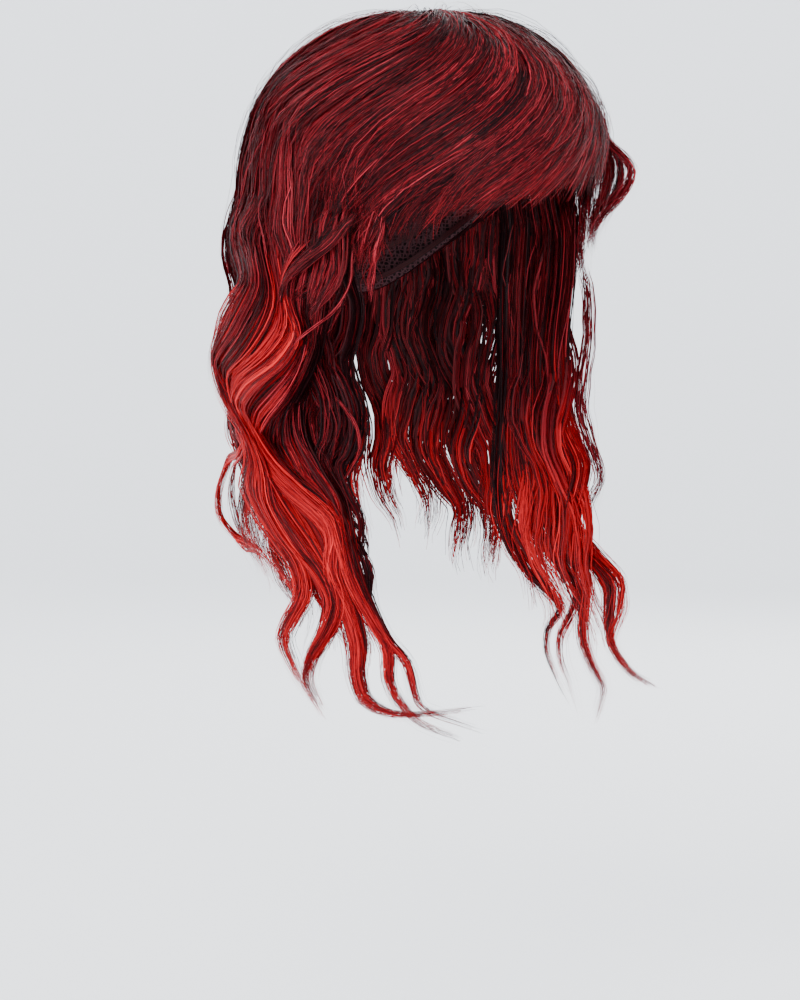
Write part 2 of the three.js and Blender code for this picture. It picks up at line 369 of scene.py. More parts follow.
@dataclass(frozen=True)
class FibreFinish:
    """Heat-fixed modacrylic fibre: extruded filament, dyed in mixed shades and waved on rollers.

    The filament's satin skin gives soft broken lights that run along each strand. The shades are
    laid out across the strand map: tone runs across it, and dye runs up it from root to tip. Fine
    stripes over the tone make each strand look like the many filaments that it stands for.
    """

    name: str = "modacrylic_fibre_dyed_and_heat_waved"
    root_shades: tuple[tuple[float, str], ...] = (
        (0.0, "#0e0204"),
        (0.3, "#260408"),
        (0.55, "#47080e"),
        (0.78, "#7d1119"),
        (1.0, "#a8303a"),
    )
    tip_shades: tuple[tuple[float, str], ...] = (
        (0.0, "#260306"),
        (0.3, "#5a050a"),
        (0.6, "#a00b14"),
        (1.0, "#da272a"),
    )
    # A real filament is 0.08 mm thick. The stripes are drawn coarser, so that they show in the render.
    stripe_mm: float = 0.45
    stripe_depth: float = 1.6
    relief_mm: float = 0.2
    roughness: float = 0.44
    specular: float = 0.07

    def ramp(
        self, tree: bpy.types.NodeTree, tone: bpy.types.NodeSocket, shades: tuple[tuple[float, str], ...]
    ) -> bpy.types.NodeSocket:
        """Adds a colour ramp over tone.

        Args:
            tree: the node tree.
            tone: where the tone comes from.
            shades: rows of a tone and its colour.

        Returns:
            The ramp's colour output.
        """
        made = node(tree, "ShaderNodeValToRGB", Fac=tone)
        stops = made.color_ramp.elements
        while len(stops) < len(shades):
            stops.new(0.5)
        for stop, (place, shade) in zip(stops, shades):
            stop.position = place
            stop.color = linear(shade)
        return made.outputs["Color"]

    def build(self) -> bpy.types.Material:
        """Builds the material.

        Returns:
            The new material.
        """
        material, tree = blank(self.name)
        strand_map = node(tree, "ShaderNodeUVMap", {"uv_map": "OFBake"})
        parts = node(tree, "ShaderNodeSeparateXYZ", Vector=strand_map.outputs["UV"])
        stripes = node(
            tree, "ShaderNodeTexNoise", {"noise_dimensions": "1D"},
            W=parts.outputs["X"], Scale=1.0 / (self.stripe_mm * STRIPE_SPAN), Detail=1.0, Roughness=0.5,
        )
        offset = node(
            tree, "ShaderNodeMath", {"operation": "MULTIPLY_ADD"},
            _0=stripes.outputs["Fac"], _1=self.stripe_depth, _2=-self.stripe_depth / 2,
        )
        tone = node(
            tree, "ShaderNodeMath", {"operation": "ADD"}, _0=parts.outputs["X"], _1=offset.outputs["Value"]
        ).outputs["Value"]
        dye = node(
            tree, "ShaderNodeMapRange", {"interpolation_type": "SMOOTHSTEP"},
            Value=parts.outputs["Y"], From_Min=0.1, From_Max=0.9,
        )
        colour = node(
            tree, "ShaderNodeMix", {"data_type": "RGBA"},
            Factor=dye.outputs["Result"],
            _6=self.ramp(tree, tone, self.root_shades),
            _7=self.ramp(tree, tone, self.tip_shades),
        )
        height = stripes.outputs["Fac"]
        put_together(tree, colour.outputs[2], height, self.relief_mm, 0.6, self.roughness, self.specular)
        return material


@dataclass(frozen=True)
class UnderFinish:
    """The dense fibre below the surface, combed flat: dark, matt and finely streaked.

    It is what shows between the outer strands, and it hides the cap. Its colours are darker than theirs, as
    painted shade between them.
    """

    name: str = "modacrylic_fibre_combed_underlayer"
    # Both shades are the fibre's burgundy made darker, as painted shade.
    dark: str = "#140407"
    light: str = "#3c0c14"
    strand_mm: float = 0.8
    roughness: float = 0.7
    specular: float = 0.06

    def build(self) -> bpy.types.Material:
        """Builds the material.

        Returns:
            The new material.
        """
        material, tree = blank(self.name)
        where = node(tree, "ShaderNodeTexCoord")
        stretched = node(
            tree, "ShaderNodeMapping",
            Vector=where.outputs["Object"], Scale=(1.0, 1.0, 0.06),
        )
        streaks = node(
            tree, "ShaderNodeTexNoise",
            Vector=stretched.outputs["Vector"], Scale=1.0 / (self.strand_mm * MM), Detail=3.0, Roughness=0.6,
        )
        shades = node(tree, "ShaderNodeValToRGB", Fac=streaks.outputs["Fac"])
        shades.color_ramp.elements[0].position = 0.35
        shades.color_ramp.elements[0].color = linear(self.dark)
        shades.color_ramp.elements[1].position = 0.7
        shades.color_ramp.elements[1].color = linear(self.light)
        colour, height = shades.outputs["Color"], streaks.outputs["Fac"]
        put_together(tree, colour, height, self.strand_mm / 2, 0.6, self.roughness, self.specular)
        return material


@dataclass(frozen=True)
class NetFinish:
    """Warp-knitted nylon cap net: dark, dull stretch mesh that shows as a fine grid of holes.

    The real mesh is about 1 mm. It is drawn at twice that, so that it shows in the render.
    """

    name: str = "warp_knitted_nylon_net"
    thread: str = "#3d2529"
    hole: str = "#0b0506"
    mesh_mm: float = 2.2
    thread_mm: float = 0.3
    roughness: float = 0.9
    specular: float = 0.08

    def build(self) -> bpy.types.Material:
        """Builds the material.

        Returns:
            The new material.
        """
        material, tree = blank(self.name)
        where = node(tree, "ShaderNodeTexCoord")
        cells = node(
            tree, "ShaderNodeTexVoronoi", {"feature": "DISTANCE_TO_EDGE"},
            Vector=where.outputs["Object"], Scale=1.0 / (self.mesh_mm * MM), Randomness=0.35,
        )
        threads = node(
            tree, "ShaderNodeMapRange",
            Value=cells.outputs["Distance"], From_Min=0.08, From_Max=0.22, To_Min=1.0, To_Max=0.0,
        )
        colour = node(
            tree, "ShaderNodeMix", {"data_type": "RGBA"},
            Factor=threads.outputs["Result"], _6=linear(self.hole), _7=linear(self.thread),
        )
        height = threads.outputs["Result"]
        put_together(tree, colour.outputs[2], height, self.thread_mm, 0.5, self.roughness, self.specular)
        return material


@dataclass(frozen=True)
class PaintedCoveFinish:
    """A studio cove in matt emulsion, lit from behind its skin: pale, cool and even."""

    name: str = "matt_emulsion_paint"
    colour: str = "#f3f5f8"
    glow: float = 0.6
    roughness: float = 0.95

    def build(self) -> bpy.types.Material:
        """Builds the material.

        Returns:
            The new material.
        """
        material = bpy.data.materials.new(self.name)
        material.use_nodes = True
        sockets = material.node_tree.nodes["Principled BSDF"].inputs
        sockets["Base Color"].default_value = linear(self.colour)
        sockets["Roughness"].default_value = self.roughness
        sockets["Emission Color"].default_value = linear(self.colour)
        sockets["Emission Strength"].default_value = self.glow
        return material


@dataclass
class Strands:
    """A batch of strands with the same number of points.

    Attributes:
        points: places in mm, one row of points for each strand.
        radii: half widths in mm, one for each point.
        tones: the shade of each strand, 0 dark to 1 light.
        dyes: how far the bright dye has taken at each point, 0 to 1.
    """

    points: np.ndarray
    radii: np.ndarray
    tones: np.ndarray
    dyes: np.ndarray


@dataclass
class StrandMesher:
    """Makes one mesh object of batches of strands, each a flat tapered ribbon that lies along the hair.

    Attributes:
        tilt: how far the ribbons turn about their own line, at random, in degrees.
        dome: how far below the origin, in metres, ribbons still face upwards.
        tone_low: the darkest tone in the strand map.
        tone_high: the lightest.
        dye_low: the strand map's lowest row.
        dye_span: how far up the map the dye reaches.
        run_span: how far up the map each strand runs by itself, which keeps its corners apart.
    """

    tilt: float = 24.0
    dome: float = 0.085
    tone_low: float = 0.08
    tone_high: float = 0.92
    dye_low: float = 0.04
    dye_span: float = 0.88
    run_span: float = 0.04

    def ribbons(self, strands: Strands, rng: np.random.Generator) -> tuple[np.ndarray, np.ndarray]:
        """Gives the two edges of each ribbon and their places in the strand map.

        Args:
            strands: the strands in mm.
            rng: the source of chance values.

        Returns:
            The vertices in metres, and the map places, each as strand, step, edge and value.
        """
        points = strands.points * MM
        count, steps, _ = points.shape
        along = unit(np.gradient(points, axis=1))
        upright = np.maximum(self.dome + points[..., 2:], 0.0) * [0.0, 0.0, 1.0]
        across = unit(np.cross(along, points * [1.0, 1.0, 0.0] + upright))
        turn = np.radians(rng.normal(0, self.tilt, count))[:, None, None]
        across = across * np.cos(turn) + np.cross(across, along) * np.sin(turn)
        half = across * (strands.radii * MM)[..., None]
        edges = np.stack([points - half, points + half], axis=2)
        tone = np.clip(strands.tones, self.tone_low, self.tone_high)[:, None] + np.zeros((1, steps))
        tone = tone[..., None] + strands.radii[..., None] * STRIPE_SPAN * np.array([-1.0, 1.0])
        dye = self.dye_low + self.dye_span * np.clip(strands.dyes, 0, 1)
        dye = dye + np.linspace(0, self.run_span, steps)
        places = np.stack(np.broadcast_arrays(tone, dye[..., None]), axis=-1)
        return edges, places

    def build(self, name: str, batches: list[Strands], material: bpy.types.Material) -> bpy.types.Object:
        """Builds the mesh and its strand map.

        Args:
            name: the piece's name.
            batches: the strands.
            material: the fibre's material.

        Returns:
            The new object, linked to the scene.
        """
        rng = np.random.default_rng([SEED, len(batches)])
        vertices, places, corners, used = [], [], [], 0
        for strands in batches:
            edges, spots = self.ribbons(strands, rng)
            index = used + np.arange(edges.size // 3).reshape(edges.shape[:3])
            left, right = index[..., 0], index[..., 1]
            corners.append(np.stack([left[:, :-1], right[:, :-1], right[:, 1:], left[:, 1:]], -1).reshape(-1))
            vertices.append(edges.reshape(-1, 3))
            places.append(spots.reshape(-1, 2))
            used += edges.size // 3
        corners = np.concatenate(corners).astype(np.int32)
        mesh = bpy.data.meshes.new(name)
        mesh.vertices.add(used)
        mesh.vertices.foreach_set("co", np.concatenate(vertices).astype(np.float32).ravel())
        mesh.loops.add(len(corners))
        mesh.loops.foreach_set("vertex_index", corners)
        mesh.polygons.add(len(corners) // 4)
        mesh.polygons.foreach_set("loop_start", np.arange(0, len(corners), 4, dtype=np.int32))
        layer = mesh.uv_layers.new(name="OFBake")
        layer.data.foreach_set("uv", np.concatenate(places)[corners].astype(np.float32).ravel())
        mesh.update(calc_edges=True)
        mesh.validate()
        count = sum(len(strands.points) for strands in batches)
        LOG.info("%s: %d strands, %d triangles", name, count, len(corners) // 2)
        return add_object(name, mesh, material)


def dress(piece: bpy.types.Object, slot: Slot, *nodes: str) -> None:
    """Makes a piece ride on the wig and hides the CAD nodes that it stands for.

    Args:
        piece: the piece.
        slot: the slot of its finish; not used.
        nodes: the CAD nodes that it replaces.
    """
    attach(piece, "root")
    if nodes:
        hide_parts(*nodes)
    LOG.info("dressed %s", piece.name)


@dataclass(frozen=True)
class Comb:
    """How a lock is split into clumps and strands.

    Attributes:
        clumps: clumps in the lock.
        strands: strands in each clump.
        spacing: the distance between a strand's points in mm.
        spread: a clump's width as a share of the lock's.
        width: a strand's full width in mm.
        shortest: where the shortest clump ends, as a share of the lock.
        stray: how far a strand wanders from its clump, in mm.
        crimp: the swing of the fine crimp in mm.
        gather: how far each clump closes up at its tip, 0 to 1.
        loose: the share of thin strands that stand away from the lock.
    """

    clumps: int = 6
    strands: int = 22
    spacing: float = 6.0
    spread: float = 0.34
    width: float = 0.95
    shortest: float = 0.8
    stray: float = 1.8
    crimp: float = 0.5
    gather: float = 0.75
    loose: float = 0.1


@dataclass(frozen=True)
class Lock:
    """A hanging lock in mm and degrees.

    Attributes:
        root: the angle at its root.
        tip: the angle at its tip.
        start: the drop of its root.
        end: the drop of its tip.
        belly: the reach at mid length as a share of the crown hair's plan outline.
        reach: the reach at its tip.
        swing: the swing of its waves to each side.
        phase: where the waves start, in turns.
        width: its width.
        thick: its thickness.
        dye: the drop at which the bright dye is half taken.
        tone: the mean shade, 0 dark to 1 light.
        under: how far its root lies below the surface.
        wave_length: the drop over which one wave runs.
        wave_depth: how far the waves rise and fall, as a share of their swing to the sides.
        drift: how late the lock drifts from its root's angle to its tip's, as a power.
        density: its strands as a share of the comb's.
    """

    root: float
    tip: float
    start: float
    end: float
    belly: float
    reach: float
    swing: float
    phase: float
    width: float = 24.0
    thick: float = 12.0
    dye: float = 190.0
    tone: float = 0.5
    under: float = 3.0
    wave_length: float = 62.0
    wave_depth: float = 0.5
    drift: float = 2.5
    density: float = 1.0

    @property
    def length(self) -> float:
        """The lock's length in mm."""
        return 1.08 * (self.end - self.start)

    def centre(self, s: np.ndarray, shift: np.ndarray, share: np.ndarray) -> np.ndarray:
        """Gives the lock's middle line.

        Args:
            s: shares of the lock's length.
            shift: how far the waves are shifted, in turns.
            share: the swing as a share of the lock's own.

        Returns:
            The points in mm.
        """
        drop = mix(self.start, self.end, s)
        edge = float(FORM.cap_drop(self.root)) + FORM.hair_below_cap
        angle = mix(self.root, self.tip, np.clip(s, 0, 1.1) ** self.drift)
        on_form = FORM.hair_reach(angle, np.minimum(drop, edge + 20.0)) - self.under
        outline = float(FORM.plan_reach(self.root, FORM.hair_half_width, FORM.hair_front, FORM.hair_back))
        hang = mix(outline - self.under, outline * self.belly, smooth(drop, edge - 10, edge + 75))
        reach = mix(mix(on_form, hang, smooth(drop, edge - 25, edge + 5)), self.reach, smooth(s, 0.5, 1.0))
        swing = self.swing * share * smooth(drop, edge - 35, edge + 45)
        turn = 2 * math.pi * (drop / self.wave_length + self.phase + shift)
        out = reach + self.wave_depth * swing * np.cos(turn)
        aside = -np.sign(self.root) * swing * np.sin(turn)
        return FORM.place(angle, out, drop) + FORM.place(angle + 90.0, aside, 0 * drop)


class Reach(Enum):
    """How far hair hangs from the head's axis: rows of drop and reach in mm."""

    OUTER = ((110, 116), (178, 131), (250, 120), (300, 112))
    BACKMOST = ((110, 114), (178, 129), (250, 119), (300, 112))
    BEHIND = ((110, 112), (178, 126), (250, 118), (300, 111))
    MIDDLE = ((100, 104), (178, 124), (250, 116), (300, 110))
    BRIGHT = ((100, 99), (150, 112), (200, 122), (270, 111), (310, 109))
    FRONT = ((100, 98), (150, 104), (200, 112), (260, 113), (320, 110))
    EDGE = ((100, 95), (150, 97), (200, 101), (260, 106), (320, 109))
    INNER = ((100, 92), (180, 90), (280, 94))
    TEMPLE = ((70, 70), (92, 78), (108, 84), (150, 84))
    FAR = ((80, 93), (180, 98), (260, 108), (300, 114), (330, 118), (400, 120))


def curve(knots: np.ndarray, along: np.ndarray, at: np.ndarray) -> np.ndarray:
    """Runs a smooth curve through knots.

    Args:
        knots: the points.
        along: how far along the curve each lies.
        at: where the curve is wanted.

    Returns:
        The points there.
    """
    slopes = np.gradient(knots, along, axis=0)
    i = np.clip(np.searchsorted(along, at, side="right") - 1, 0, len(along) - 2)
    span = (along[i + 1] - along[i])[..., None]
    x = (at - along[i])[..., None] / span
    near = knots[i] * (1 + 2 * x) * (1 - x) ** 2 + slopes[i] * span * x * (1 - x) ** 2
    return near + knots[i + 1] * x**2 * (3 - 2 * x) + slopes[i + 1] * span * x**2 * (x - 1)


@dataclass(frozen=True)
class Route:
    """The middle line of hair that shows singly: the bends seen in the photograph, from root to tip.

    Attributes:
        pixels: x and y of each bend in the 800 by 1000 picture.
        reach: how far the hair hangs from the head's axis.
        dye: the drop in mm at which the bright dye is half taken.
        tone: the mean shade, 0 dark to 1 light.
        far: whether it is on the side turned away from the camera.
        side: the angle of the upright plane that it stands out in, which takes the reach's place.
    """

    pixels: tuple[tuple[float, float], ...]
    reach: Reach = Reach.INNER
    dye: float = 190.0
    tone: float = 0.5
    far: bool = False
    side: float | None = None

    def knots(self) -> np.ndarray:
        """Gives the bends' places.

        Returns:
            A point in mm for each bend.
        """
        if self.side is not None:
            return VIEW.beside(self.pixels, self.side)
        return VIEW.place(self.pixels, self.reach.value, self.far)


@dataclass(frozen=True)
class PathLock:
    """A lock that shows singly and follows its own route.

    Attributes:
        route: its middle line.
        width: its width in mm.
        thick: its thickness in mm.
        density: its strands as a share of the comb's.
    """

    route: Route
    width: float = 12.0
    thick: float = 7.0
    density: float = 1.0

    @property
    def dye(self) -> float:
        """The drop at which the bright dye is half taken."""
        return self.route.dye

    @property
    def tone(self) -> float:
        """The mean shade."""
        return self.route.tone

    @property
    def length(self) -> float:
        """The lock's length in mm."""
        return float(np.linalg.norm(np.diff(self.route.knots(), axis=0), axis=1).sum())

    def centre(self, s: np.ndarray, shift: np.ndarray, share: np.ndarray) -> np.ndarray:
        """Gives the lock's middle line.

        Args:
            s: shares of the lock's length.
            shift: how far the waves are shifted, in turns, which a route doesn't follow.
            share: how strongly it waves, which a route doesn't follow.

        Returns:
            The points in mm.
        """
        knots = self.route.knots()
        along = np.concatenate([[0.0], np.cumsum(np.linalg.norm(np.diff(knots, axis=0), axis=1))])
        return curve(knots, along / along[-1], s)


@dataclass(frozen=True)
class Sheet:
    """Hair combed as one, so that its strands wave side by side between routes.

    Attributes:
        routes: the routes, side by side.
        low: where the sheet starts across them, counted in routes.
        high: where it ends.
        clumps: clumps in the sheet.
        strands: strands in each clump.
        thick: its thickness in mm.
        width: a strand's full width in mm.
        spacing: the distance between a strand's points in mm.
        bulge: how far the waves rise and fall, in mm.
        gather: how far the clumps close on their route at the tips, 0 to 1.
        short: the share of clumps that end early, as layered hair does.
        shaded: the share of clumps that are painted dark and take the dye later, as painted shade between the
            others.
        loose: the share of thin strands that stand away from the sheet.
        step: the distance in mm between the stored points of a curve.
        run_share: how much of a curve's length is its run, and not its fall.
        root_sink: how far the roots start below the sheet, in mm.
        dye_blend: half the drop in mm over which the dye fades in.
    """

    routes: tuple[Route, ...]
    low: float
    high: float
    clumps: int = 60
    strands: int = 9
    thick: float = 11.0
    width: float = 0.66
    spacing: float = 7.0
    bulge: float = 3.0
    gather: float = 0.78
    short: float = 0.62
    shaded: float = 0.28
    loose: float = 0.12
    step: float = 3.0
    run_share: float = 0.35
    root_sink: float = 7.0
    dye_blend: float = 42.0

    def curves(self) -> tuple[np.ndarray, np.ndarray]:
        """Runs the routes as curves, in step with each other.

        Returns:
            Points each step along every curve, and each curve's length in steps. A length here is
            mostly the fall and partly the run, so that neighbours bend together.
        """
        step, share = self.step, self.run_share
        lines, lengths = [], []
        for route in self.routes:
            knots = route.knots()
            moves = np.diff(knots, axis=0)
            run = np.maximum(-moves[:, 2], 0.0) * (1 - share) + np.linalg.norm(moves, axis=1) * share
            lines.append((knots, np.concatenate([[0.0], np.cumsum(run)])))
            lengths.append(run.sum())
        at = np.arange(0.0, max(lengths) + 30.0, step)
        rows = []
        for (knots, along), length in zip(lines, lengths):
            row = curve(knots, along, np.minimum(at, length))
            last = row[at <= length][-1] - row[at <= length][-2]
            row = row + np.maximum(at - length, 0.0)[:, None] / step * last
            outward = level(row)
            aside = np.cross(outward, [0.0, 0.0, 1.0])
            travel = np.gradient(row, axis=0)
            slope = (travel * aside).sum(1) / np.maximum(np.linalg.norm(travel, axis=1), 1e-6)
            rows.append(row + outward * (self.bulge * slope)[:, None])
        return np.array(rows), np.array(lengths) / step

    def comb(self, rng: np.random.Generator) -> Strands:
        """Combs the sheet.

        Args:
            rng: the source of its chance values.

        Returns:
            Its strands.
        """
        curves, lengths = self.curves()
        clump = np.repeat(np.arange(self.clumps), self.strands)
        count = len(clump)
        steps = math.ceil(lengths.max() * self.step / self.spacing) + 1
        own = np.linspace(0, 1, steps)[None, :]
        spot = rng.uniform(self.low, self.high, self.clumps)
        nearest = np.clip(np.round(spot), 0, len(self.routes) - 1)
        deep = self.thick * rng.uniform(0, 1, self.clumps) ** 1.3
        early = rng.uniform(0, 1, self.clumps) < self.short
        ends = np.where(early, rng.uniform(0.6, 0.96, self.clumps), 1.0 - rng.exponential(0.04, self.clumps))
        ends = np.clip(ends[clump] + rng.normal(0, 0.025, count), 0.5, 1.01)
        ends = ends * lengths[nearest.astype(int)][clump]
        starts = rng.uniform(0, 5, count)
        loose = (rng.uniform(0, 1, count) < self.loose)[:, None]
        across = spot[clump] + rng.normal(0, 0.11, count)
        close = self.gather * smooth(own, 0.66, 0.93)
        across = mix(across[:, None], nearest[clump][:, None], close)
        across = np.clip(across, 0, len(self.routes) - 1.001)
        at = mix(starts[:, None], ends[:, None], own)
        shift = rng.normal(0, 1.3, self.clumps)[clump] + rng.normal(0, 0.5, count)
        at = np.clip(at + shift[:, None], 0, curves.shape[1] - 1.001)
        i, j = across.astype(int), at.astype(int)
        f, h = (across - i)[..., None], (at - j)[..., None]
        one, next_one = (mix(curves[k, j], curves[k, j + 1], h) for k in (i, i + 1))
        points = mix(one, next_one, f)
        outward = level(points)
        side = np.cross(unit(np.gradient(points, axis=1)), outward)
        stray = np.where(loose, 4.0, 1.1) * smooth(own, 0, 0.4)
        turns = rng.uniform(0.8, 2.4, (2, count, 1)) * own + rng.uniform(0, 1, (2, count, 1))
        wander, heave = stray * waves(turns)
        fine = rng.normal(0, 1.0, count)[:, None] * (1 - 0.5 * own)
        thin = 1.0 - 0.6 * smooth(own, 0.6, 1.0)
        rise = heave * 0.6 - (deep[clump][:, None] + rng.normal(0, 0.7, count)[:, None]) * thin
        rise = rise - self.root_sink * (1.0 - smooth(own, 0.0, 0.1))
        points = points + side * (wander + fine)[..., None] + outward * rise[..., None]
        body = smooth(own, -0.05, 0.1) * (1.0 - 0.85 * smooth(own, 0.7, 1.0) ** 1.5)
        radii = self.width / 2 * body * rng.uniform(0.7, 1.25, count)[:, None] * np.where(loose, 0.5, 1.0)
        order = np.arange(len(self.routes))
        # Deeper clumps are painted darker, and take the dye lower down, as painted shade inside the sheet.
        tones = np.interp(spot, order, [route.tone for route in self.routes]) - 0.042 * deep
        tones = (tones + rng.normal(0, 0.13, self.clumps))[clump] + rng.normal(0, 0.14, count)
        # Shaded clumps are painted dark and take the dye later: painted shade between the lighter clumps.
        shaded = (rng.uniform(0, 1, self.clumps) < self.shaded)[clump]
        tones = tones + 0.16 * (rng.uniform(0, 1, count) < 0.14) - 0.28 * shaded
        dye = np.interp(spot, order, [route.dye for route in self.routes]) + 2.0 * deep
        dye = (dye + rng.normal(0, 14, self.clumps))[clump] + rng.normal(0, 10, count) + 45.0 * shaded
        taken = smooth(-points[..., 2] - dye[:, None], -self.dye_blend, self.dye_blend)
        return Strands(points, radii, tones, taken)


@dataclass
class LockComber:
    """Combs locks into strands.

    Attributes:
        root_sink: how far the roots start below the lock, in mm.
        painted_depth_shade: how much lighter the outer strands of a lock are painted than its inner ones, as
            painted shade inside the lock.
        clump_tone: how far the shades of clumps differ.
        strand_tone: how far the shades of strands differ.
        dye_blend: half the drop in mm over which the dye fades in.
    """

    root_sink: float = 3.0
    painted_depth_shade: float = 0.12
    clump_tone: float = 0.11
    strand_tone: float = 0.17
    dye_blend: float = 50.0

    def fullness(self, s: np.ndarray) -> np.ndarray:
        """Gives how full a lock is along its length."""
        return np.sqrt(smooth(s, -0.2, 0.25)) * (1.0 - 0.65 * smooth(s, 0.6, 1.05))

    def comb(self, lock: Lock | PathLock, comb: Comb, rng: np.random.Generator) -> Strands:
        """Combs one lock.

        Args:
            lock: the lock's form.
            comb: how it is split.
            rng: the source of its chance values.

        Returns:
            Its strands.
        """
        clump = np.repeat(np.arange(comb.clumps), max(2, round(comb.strands * lock.density)))
        count = len(clump)
        steps = math.ceil(lock.length / comb.spacing) + 2

        def each_clump(low: float, high: float) -> np.ndarray:
            """Draws a value for each clump."""
            return rng.uniform(low, high, comb.clumps)[clump][:, None]

        def each(low: float, high: float) -> np.ndarray:
            """Draws a value for each strand."""
            return rng.uniform(low, high, count)[:, None]

        own = np.linspace(0, 1, steps)[None, :]
        ends = np.maximum(comb.shortest, 1.0 - rng.exponential(0.08, comb.clumps))[clump][:, None]
        ends = np.minimum(ends * each(0.93, 1.03), 1.02)
        s = mix(each(0.0, 0.1), ends, own)
        centre = lock.centre(s, each_clump(-0.07, 0.07) + each(-0.02, 0.02), each_clump(0.75, 1.25))
        along = unit(np.gradient(centre, axis=1))
        across = unit(np.cross(along, level(centre)))
        outward = np.cross(across, along)
        ring = np.sqrt(rng.uniform(0.1, 1.0, comb.clumps))
        turn = rng.uniform(0, 2 * math.pi, comb.clumps)
        u = (ring * np.cos(turn))[clump][:, None]
        v = (ring * np.sin(turn))[clump][:, None]
        closing = 1.0 - comb.gather * own**1.5
        du = rng.normal(0, comb.spread, count)[:, None] * closing
        dv = rng.normal(0, comb.spread, count)[:, None] * closing
        loose = (rng.uniform(0, 1, count) < comb.loose)[:, None]
        stray = comb.stray * np.where(loose, 3.0, 1.0) * own
        wander = stray * waves(own * each(0.5, 1.6) + each(0, 1))
        wander_out = stray * waves(own * each(0.5, 1.6) + each(0, 1))
        fine = comb.crimp * waves(-centre[..., 2] / each_clump(16, 26) + each_clump(0, 1))
        full = self.fullness(s)
        aside = (u + du) * lock.width / 2 * full + wander + fine
        out = (v + dv) * lock.thick / 2 * full + wander_out
        out = out - self.root_sink * (1.0 - smooth(own, 0, 0.08))
        points = centre + across * aside[..., None] + outward * out[..., None]
        body = smooth(own, -0.05, 0.12) * (1.0 - 0.85 * smooth(own, 0.6, 1.0) ** 1.5)
        radii = comb.width / 2 * body * each(0.75, 1.2) * np.where(loose, 0.45, 1.0)
        # Inner strands are painted darker than outer ones: painted shade inside the lock.
        tones = lock.tone - 0.04 + self.painted_depth_shade * v[:, 0]
        tones = tones + rng.normal(0, self.clump_tone, comb.clumps)[clump]
        tones = tones + rng.normal(0, self.strand_tone, count)
        level_of_dye = -points[..., 2] + each_clump(-18, 18) + each(-12, 12)
        taken = smooth(level_of_dye, lock.dye - self.dye_blend, lock.dye + self.dye_blend)
        return Strands(points, radii, tones, taken)


@dataclass
class Tresses:
    """The waved tresses that hang from under the crown hair.

    Attributes:
        name: the piece's name, and the CAD node that it replaces.
        locks: the locks that fill it.
        paths: the locks that show singly.
        sheets: the sheets that show.
        comb: how each filling lock is split.
        path_comb: how each single lock is split.
        wisp_comb: how a wisp is split.
        wisp_width: the width in mm below which a single lock is a wisp.
    """

    name: str
    locks: list[Lock]
    paths: list[PathLock] = field(default_factory=list)
    sheets: list[Sheet] = field(default_factory=list)
    comb: Comb = Comb()
    path_comb: Comb = Comb(clumps=5, strands=12, shortest=0.78, stray=1.8, width=0.62)
    wisp_comb: Comb = Comb(clumps=3, strands=8, shortest=0.72, stray=0.8, width=0.5, crimp=0.2, loose=0.2)
    wisp_width: float = 4.0

    def build(self, number: int, fibre: bpy.types.Material) -> bpy.types.Object:
        """Combs the locks into one piece.

        Args:
            number: the piece's number, which seeds its chance values.
            fibre: the fibre's material.

        Returns:
            The new object.
        """
        rng = np.random.default_rng([SEED, number])
        comber = LockComber()
        strands = [comber.comb(lock, self.comb, rng) for lock in self.locks]
        for path in self.paths:
            single = self.wisp_comb if path.width < self.wisp_width else self.path_comb
            strands.append(comber.comb(path, single, rng))
        strands += [sheet.comb(rng) for sheet in self.sheets]
        made = StrandMesher().build(self.name + "_strands", strands, fibre)
        dress(made, Slot.FADED, self.name)
        return made


NEAR_ROUTES = (
    Route(((236, 195), (229, 240), (235, 286), (218, 322), (209, 360), (217, 400), (240, 440), (245, 462),
           (240, 490), (248, 515), (270, 545), (290, 572), (297, 597), (285, 622), (278, 644), (288, 670),
           (310, 702)), Reach.OUTER, 152, 0.56),
    Route(((245, 195), (240, 240), (246, 288), (231, 326), (215, 364), (226, 408), (245, 444), (254, 468),
           (256, 500), (272, 535), (294, 566), (300, 595), (290, 618), (281, 642), (290, 668), (311, 702)),
          Reach.BACKMOST, 160, 0.53),
    Route(((252, 200), (250, 240), (257, 300), (240, 338), (221, 370), (232, 412), (252, 450), (264, 480),
           (272, 515), (292, 548), (318, 578), (331, 606), (324, 632), (308, 660), (303, 684), (312, 704)),
          Reach.BEHIND, 160, 0.5),
    Route(((264, 200), (262, 245), (270, 315), (252, 350), (231, 378), (237, 418), (256, 455), (272, 488),
           (290, 520), (312, 552), (332, 585), (337, 612), (324, 640), (309, 664), (305, 686), (313, 705)),
          Reach.MIDDLE, 140, 0.53),
    Route(((278, 200), (277, 255), (282, 300), (289, 335), (272, 358), (241, 382), (232, 405), (243, 432),
           (258, 458), (284, 486), (316, 510), (332, 532), (326, 560), (328, 590), (346, 622), (356, 650),
           (356, 682), (366, 706), (400, 716), (440, 712)), Reach.BRIGHT, 130, 0.62),
    Route(((350, 214), (326, 246), (298, 268), (284, 286), (288, 315), (296, 342), (285, 364), (258, 386),
           (243, 408), (254, 440), (272, 468), (302, 496), (330, 522), (335, 548), (334, 572), (350, 612),
           (358, 650), (358, 682), (370, 706), (404, 717), (445, 713)), Reach.BRIGHT, 136, 0.58),
    Route(((320, 208), (306, 270), (300, 310), (304, 350), (288, 394), (266, 424), (258, 446), (264, 468),
           (296, 492), (328, 518), (340, 550), (350, 582), (372, 625), (387, 652), (388, 682), (398, 703),
           (426, 728), (450, 737)), Reach.FRONT, 222, 0.47),
    Route(((336, 208), (322, 280), (316, 330), (306, 365), (296, 405), (298, 440), (314, 472), (334, 503),
           (342, 535), (352, 575), (368, 612), (388, 645), (406, 664), (414, 690), (424, 712), (449, 721)),
          Reach.EDGE, 252, 0.42),
)
